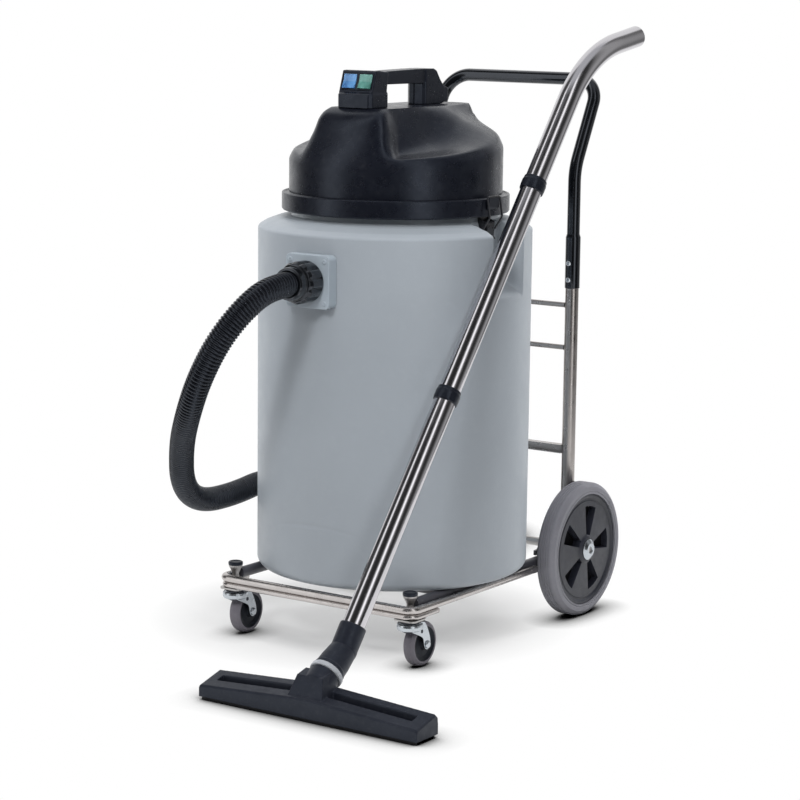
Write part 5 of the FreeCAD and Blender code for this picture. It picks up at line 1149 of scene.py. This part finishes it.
def floor():
    """Pale floor with a painted grey shade under the machine that fades to the white backdrop away from it, and painted
    contact shadow close to what stands on it.
    """
    reach, count = 1.9, 128
    mesh = bpy.data.meshes.new("floor")
    angles = [2 * math.pi * k / count for k in range(count)]
    ring = [(ORIGIN.x + reach * math.cos(a), ORIGIN.y + reach * math.sin(a), -0.0002) for a in angles]
    mesh.from_pydata(ring, [], [list(range(count))])
    obj = bpy.data.objects.new("floor", mesh)
    bpy.context.scene.collection.objects.link(obj)
    n = Nodes(bpy.data.materials.new("floor"))
    centre = (ORIGIN.x + SHADE_SHIFT[0], ORIGIN.y + SHADE_SHIFT[1], 0)
    distance = n.add("ShaderNodeVectorMath", {0: n.coordinates["Object"], 1: centre}, operation="DISTANCE")
    distance = distance.outputs["Value"]
    near = n.add("ShaderNodeAmbientOcclusion", {"Distance": CONTACT_SHADOW_REACH}, samples=12)
    # Ambient occlusion darkens the floor's glow and colour next to each piece: painted contact shadow
    contact_shadow = n.ranged(near.outputs["AO"], 0.0, 1.0, 0.42, 0.97)
    pale = n.mix(n.noise(3.0, 3.0), grey(0.82), grey(0.84))
    # Grey glow near the machine, white further out: painted shade under the machine
    shade_tone = n.mix(n.ranged(distance, 0.0, 1.0, FADE_START, FADE_END), grey(SHADE_TONE), grey(1.0))
    glow = n.add("ShaderNodeEmission", {"Strength": 1.0, "Color": n.mix(contact_shadow, grey(0.0), shade_tone)})
    away = n.ranged(distance, FLOOR_SHARE, 1.0, FADE_START, FADE_END)
    path = n.add("ShaderNodeLightPath").outputs
    seen = n.math("MAXIMUM", path["Is Camera Ray"], path["Is Glossy Ray"])
    shader = n.tree.nodes["Principled BSDF"]
    blend = n.choose(n.math("MULTIPLY", away, seen), shader.outputs[0], glow.outputs[0])
    n.feed(n.tree.nodes["Material Output"], {"Surface": blend})
    mesh.materials.append(n.finished({"Roughness": 0.7, "Base Color": n.mix(contact_shadow, grey(0.05), pale)}))


# Brightness seen in the metal round the horizon, by angle in degrees from the camera towards its right
STUDIO = [(-180, 0.95), (-136, 0.95), (-126, 0.20), (-112, 0.06), (-86, 0.08), (-79, 1.30), (-66, 1.30), (-59, 0.25),
          (-48, 0.05), (-22, 0.03), (6, 0.04), (16, 0.45), (22, 1.55), (32, 1.55), (39, 0.35), (47, 0.07), (60, 0.035),
          (72, 0.06), (84, 0.26), (92, 0.40), (102, 0.40), (112, 0.18), (124, 0.20), (136, 0.95), (180, 0.95)]


def world():
    """White for the camera, a quiet grey for diffuse light, and strip lights between dark flags for reflections."""
    n = Nodes(bpy.data.worlds.new("studio"))
    bpy.context.scene.world = n.owner

    def along(x, y, z):
        settings = {0: n.coordinates["Generated"], 1: (x, y, z)}
        return n.add("ShaderNodeVectorMath", settings, operation="DOT_PRODUCT").outputs["Value"]

    def ramp(value, stops):
        node = n.add("ShaderNodeValToRGB", {0: value})
        marks = node.color_ramp.elements
        while len(marks) < len(stops):
            marks.new(0.5)
        for mark, (place, level) in zip(marks, stops):
            mark.position = place
            mark.color = grey(level)
        return node.outputs["Color"]

    def background(colour, strength=1.0):
        return n.add("ShaderNodeBackground", {"Color": colour, "Strength": strength}).outputs[0]

    az = math.radians(CAMERA_AZ)
    angle = n.math("ARCTAN2", along(math.cos(az), math.sin(az), 0), along(math.sin(az), -math.cos(az), 0))
    around = ramp(n.ranged(angle, 0, 1, -math.pi, math.pi), [((d + 180) / 360, v) for d, v in STUDIO])
    overhead = ramp(along(*UP), [(0.0, 0.0), (0.84, 0.0), (0.95, 1.0), (1.0, 1.0)])
    strips = background(n.mix(overhead, around, (0.55, 0.56, 0.58, 1)))
    path = n.add("ShaderNodeLightPath").outputs
    studio = n.choose(path["Is Glossy Ray"], background((0.62, 0.63, 0.65, 1), 0.42), strips)
    seen = n.choose(path["Is Camera Ray"], studio, background(grey(1.0)))
    n.feed(n.tree.nodes["World Output"], {"Surface": seen})
    n.tree.nodes.remove(n.tree.nodes["Background"])


def lights():
    """Soft lights: two from the front, one at each side, and two from above."""
    area("key", -23, 36, 3.2, (0.4, 0.55), 46)
    area("fill", 22, 33, 3.2, (0.35, 0.5), 29)
    area("left_rim", -120, 12, 2.8, (0.6, 2.2), 80)
    area("right_rim", 126, 12, 2.8, (0.6, 2.2), 90)
    area("top", 172, 66, 2.7, (1.3, 1.3), 26)
    area("crown", 6, 64, 2.8, (1.3, 1.3), 38)


chassis()
push_handle()
castor_mounts()
for side_name, side in SIDES:
    castor(side_name, side)
    rear_wheel(side_name, side)
drum_shell()
inlet()
print("hose length", round(hose()))
head_shell()
head_fittings()
clamps()
wand()
elbow()
floor_tool()
camera()
floor()
world()
lights()
bpy.context.scene.view_settings.view_transform = "Standard"
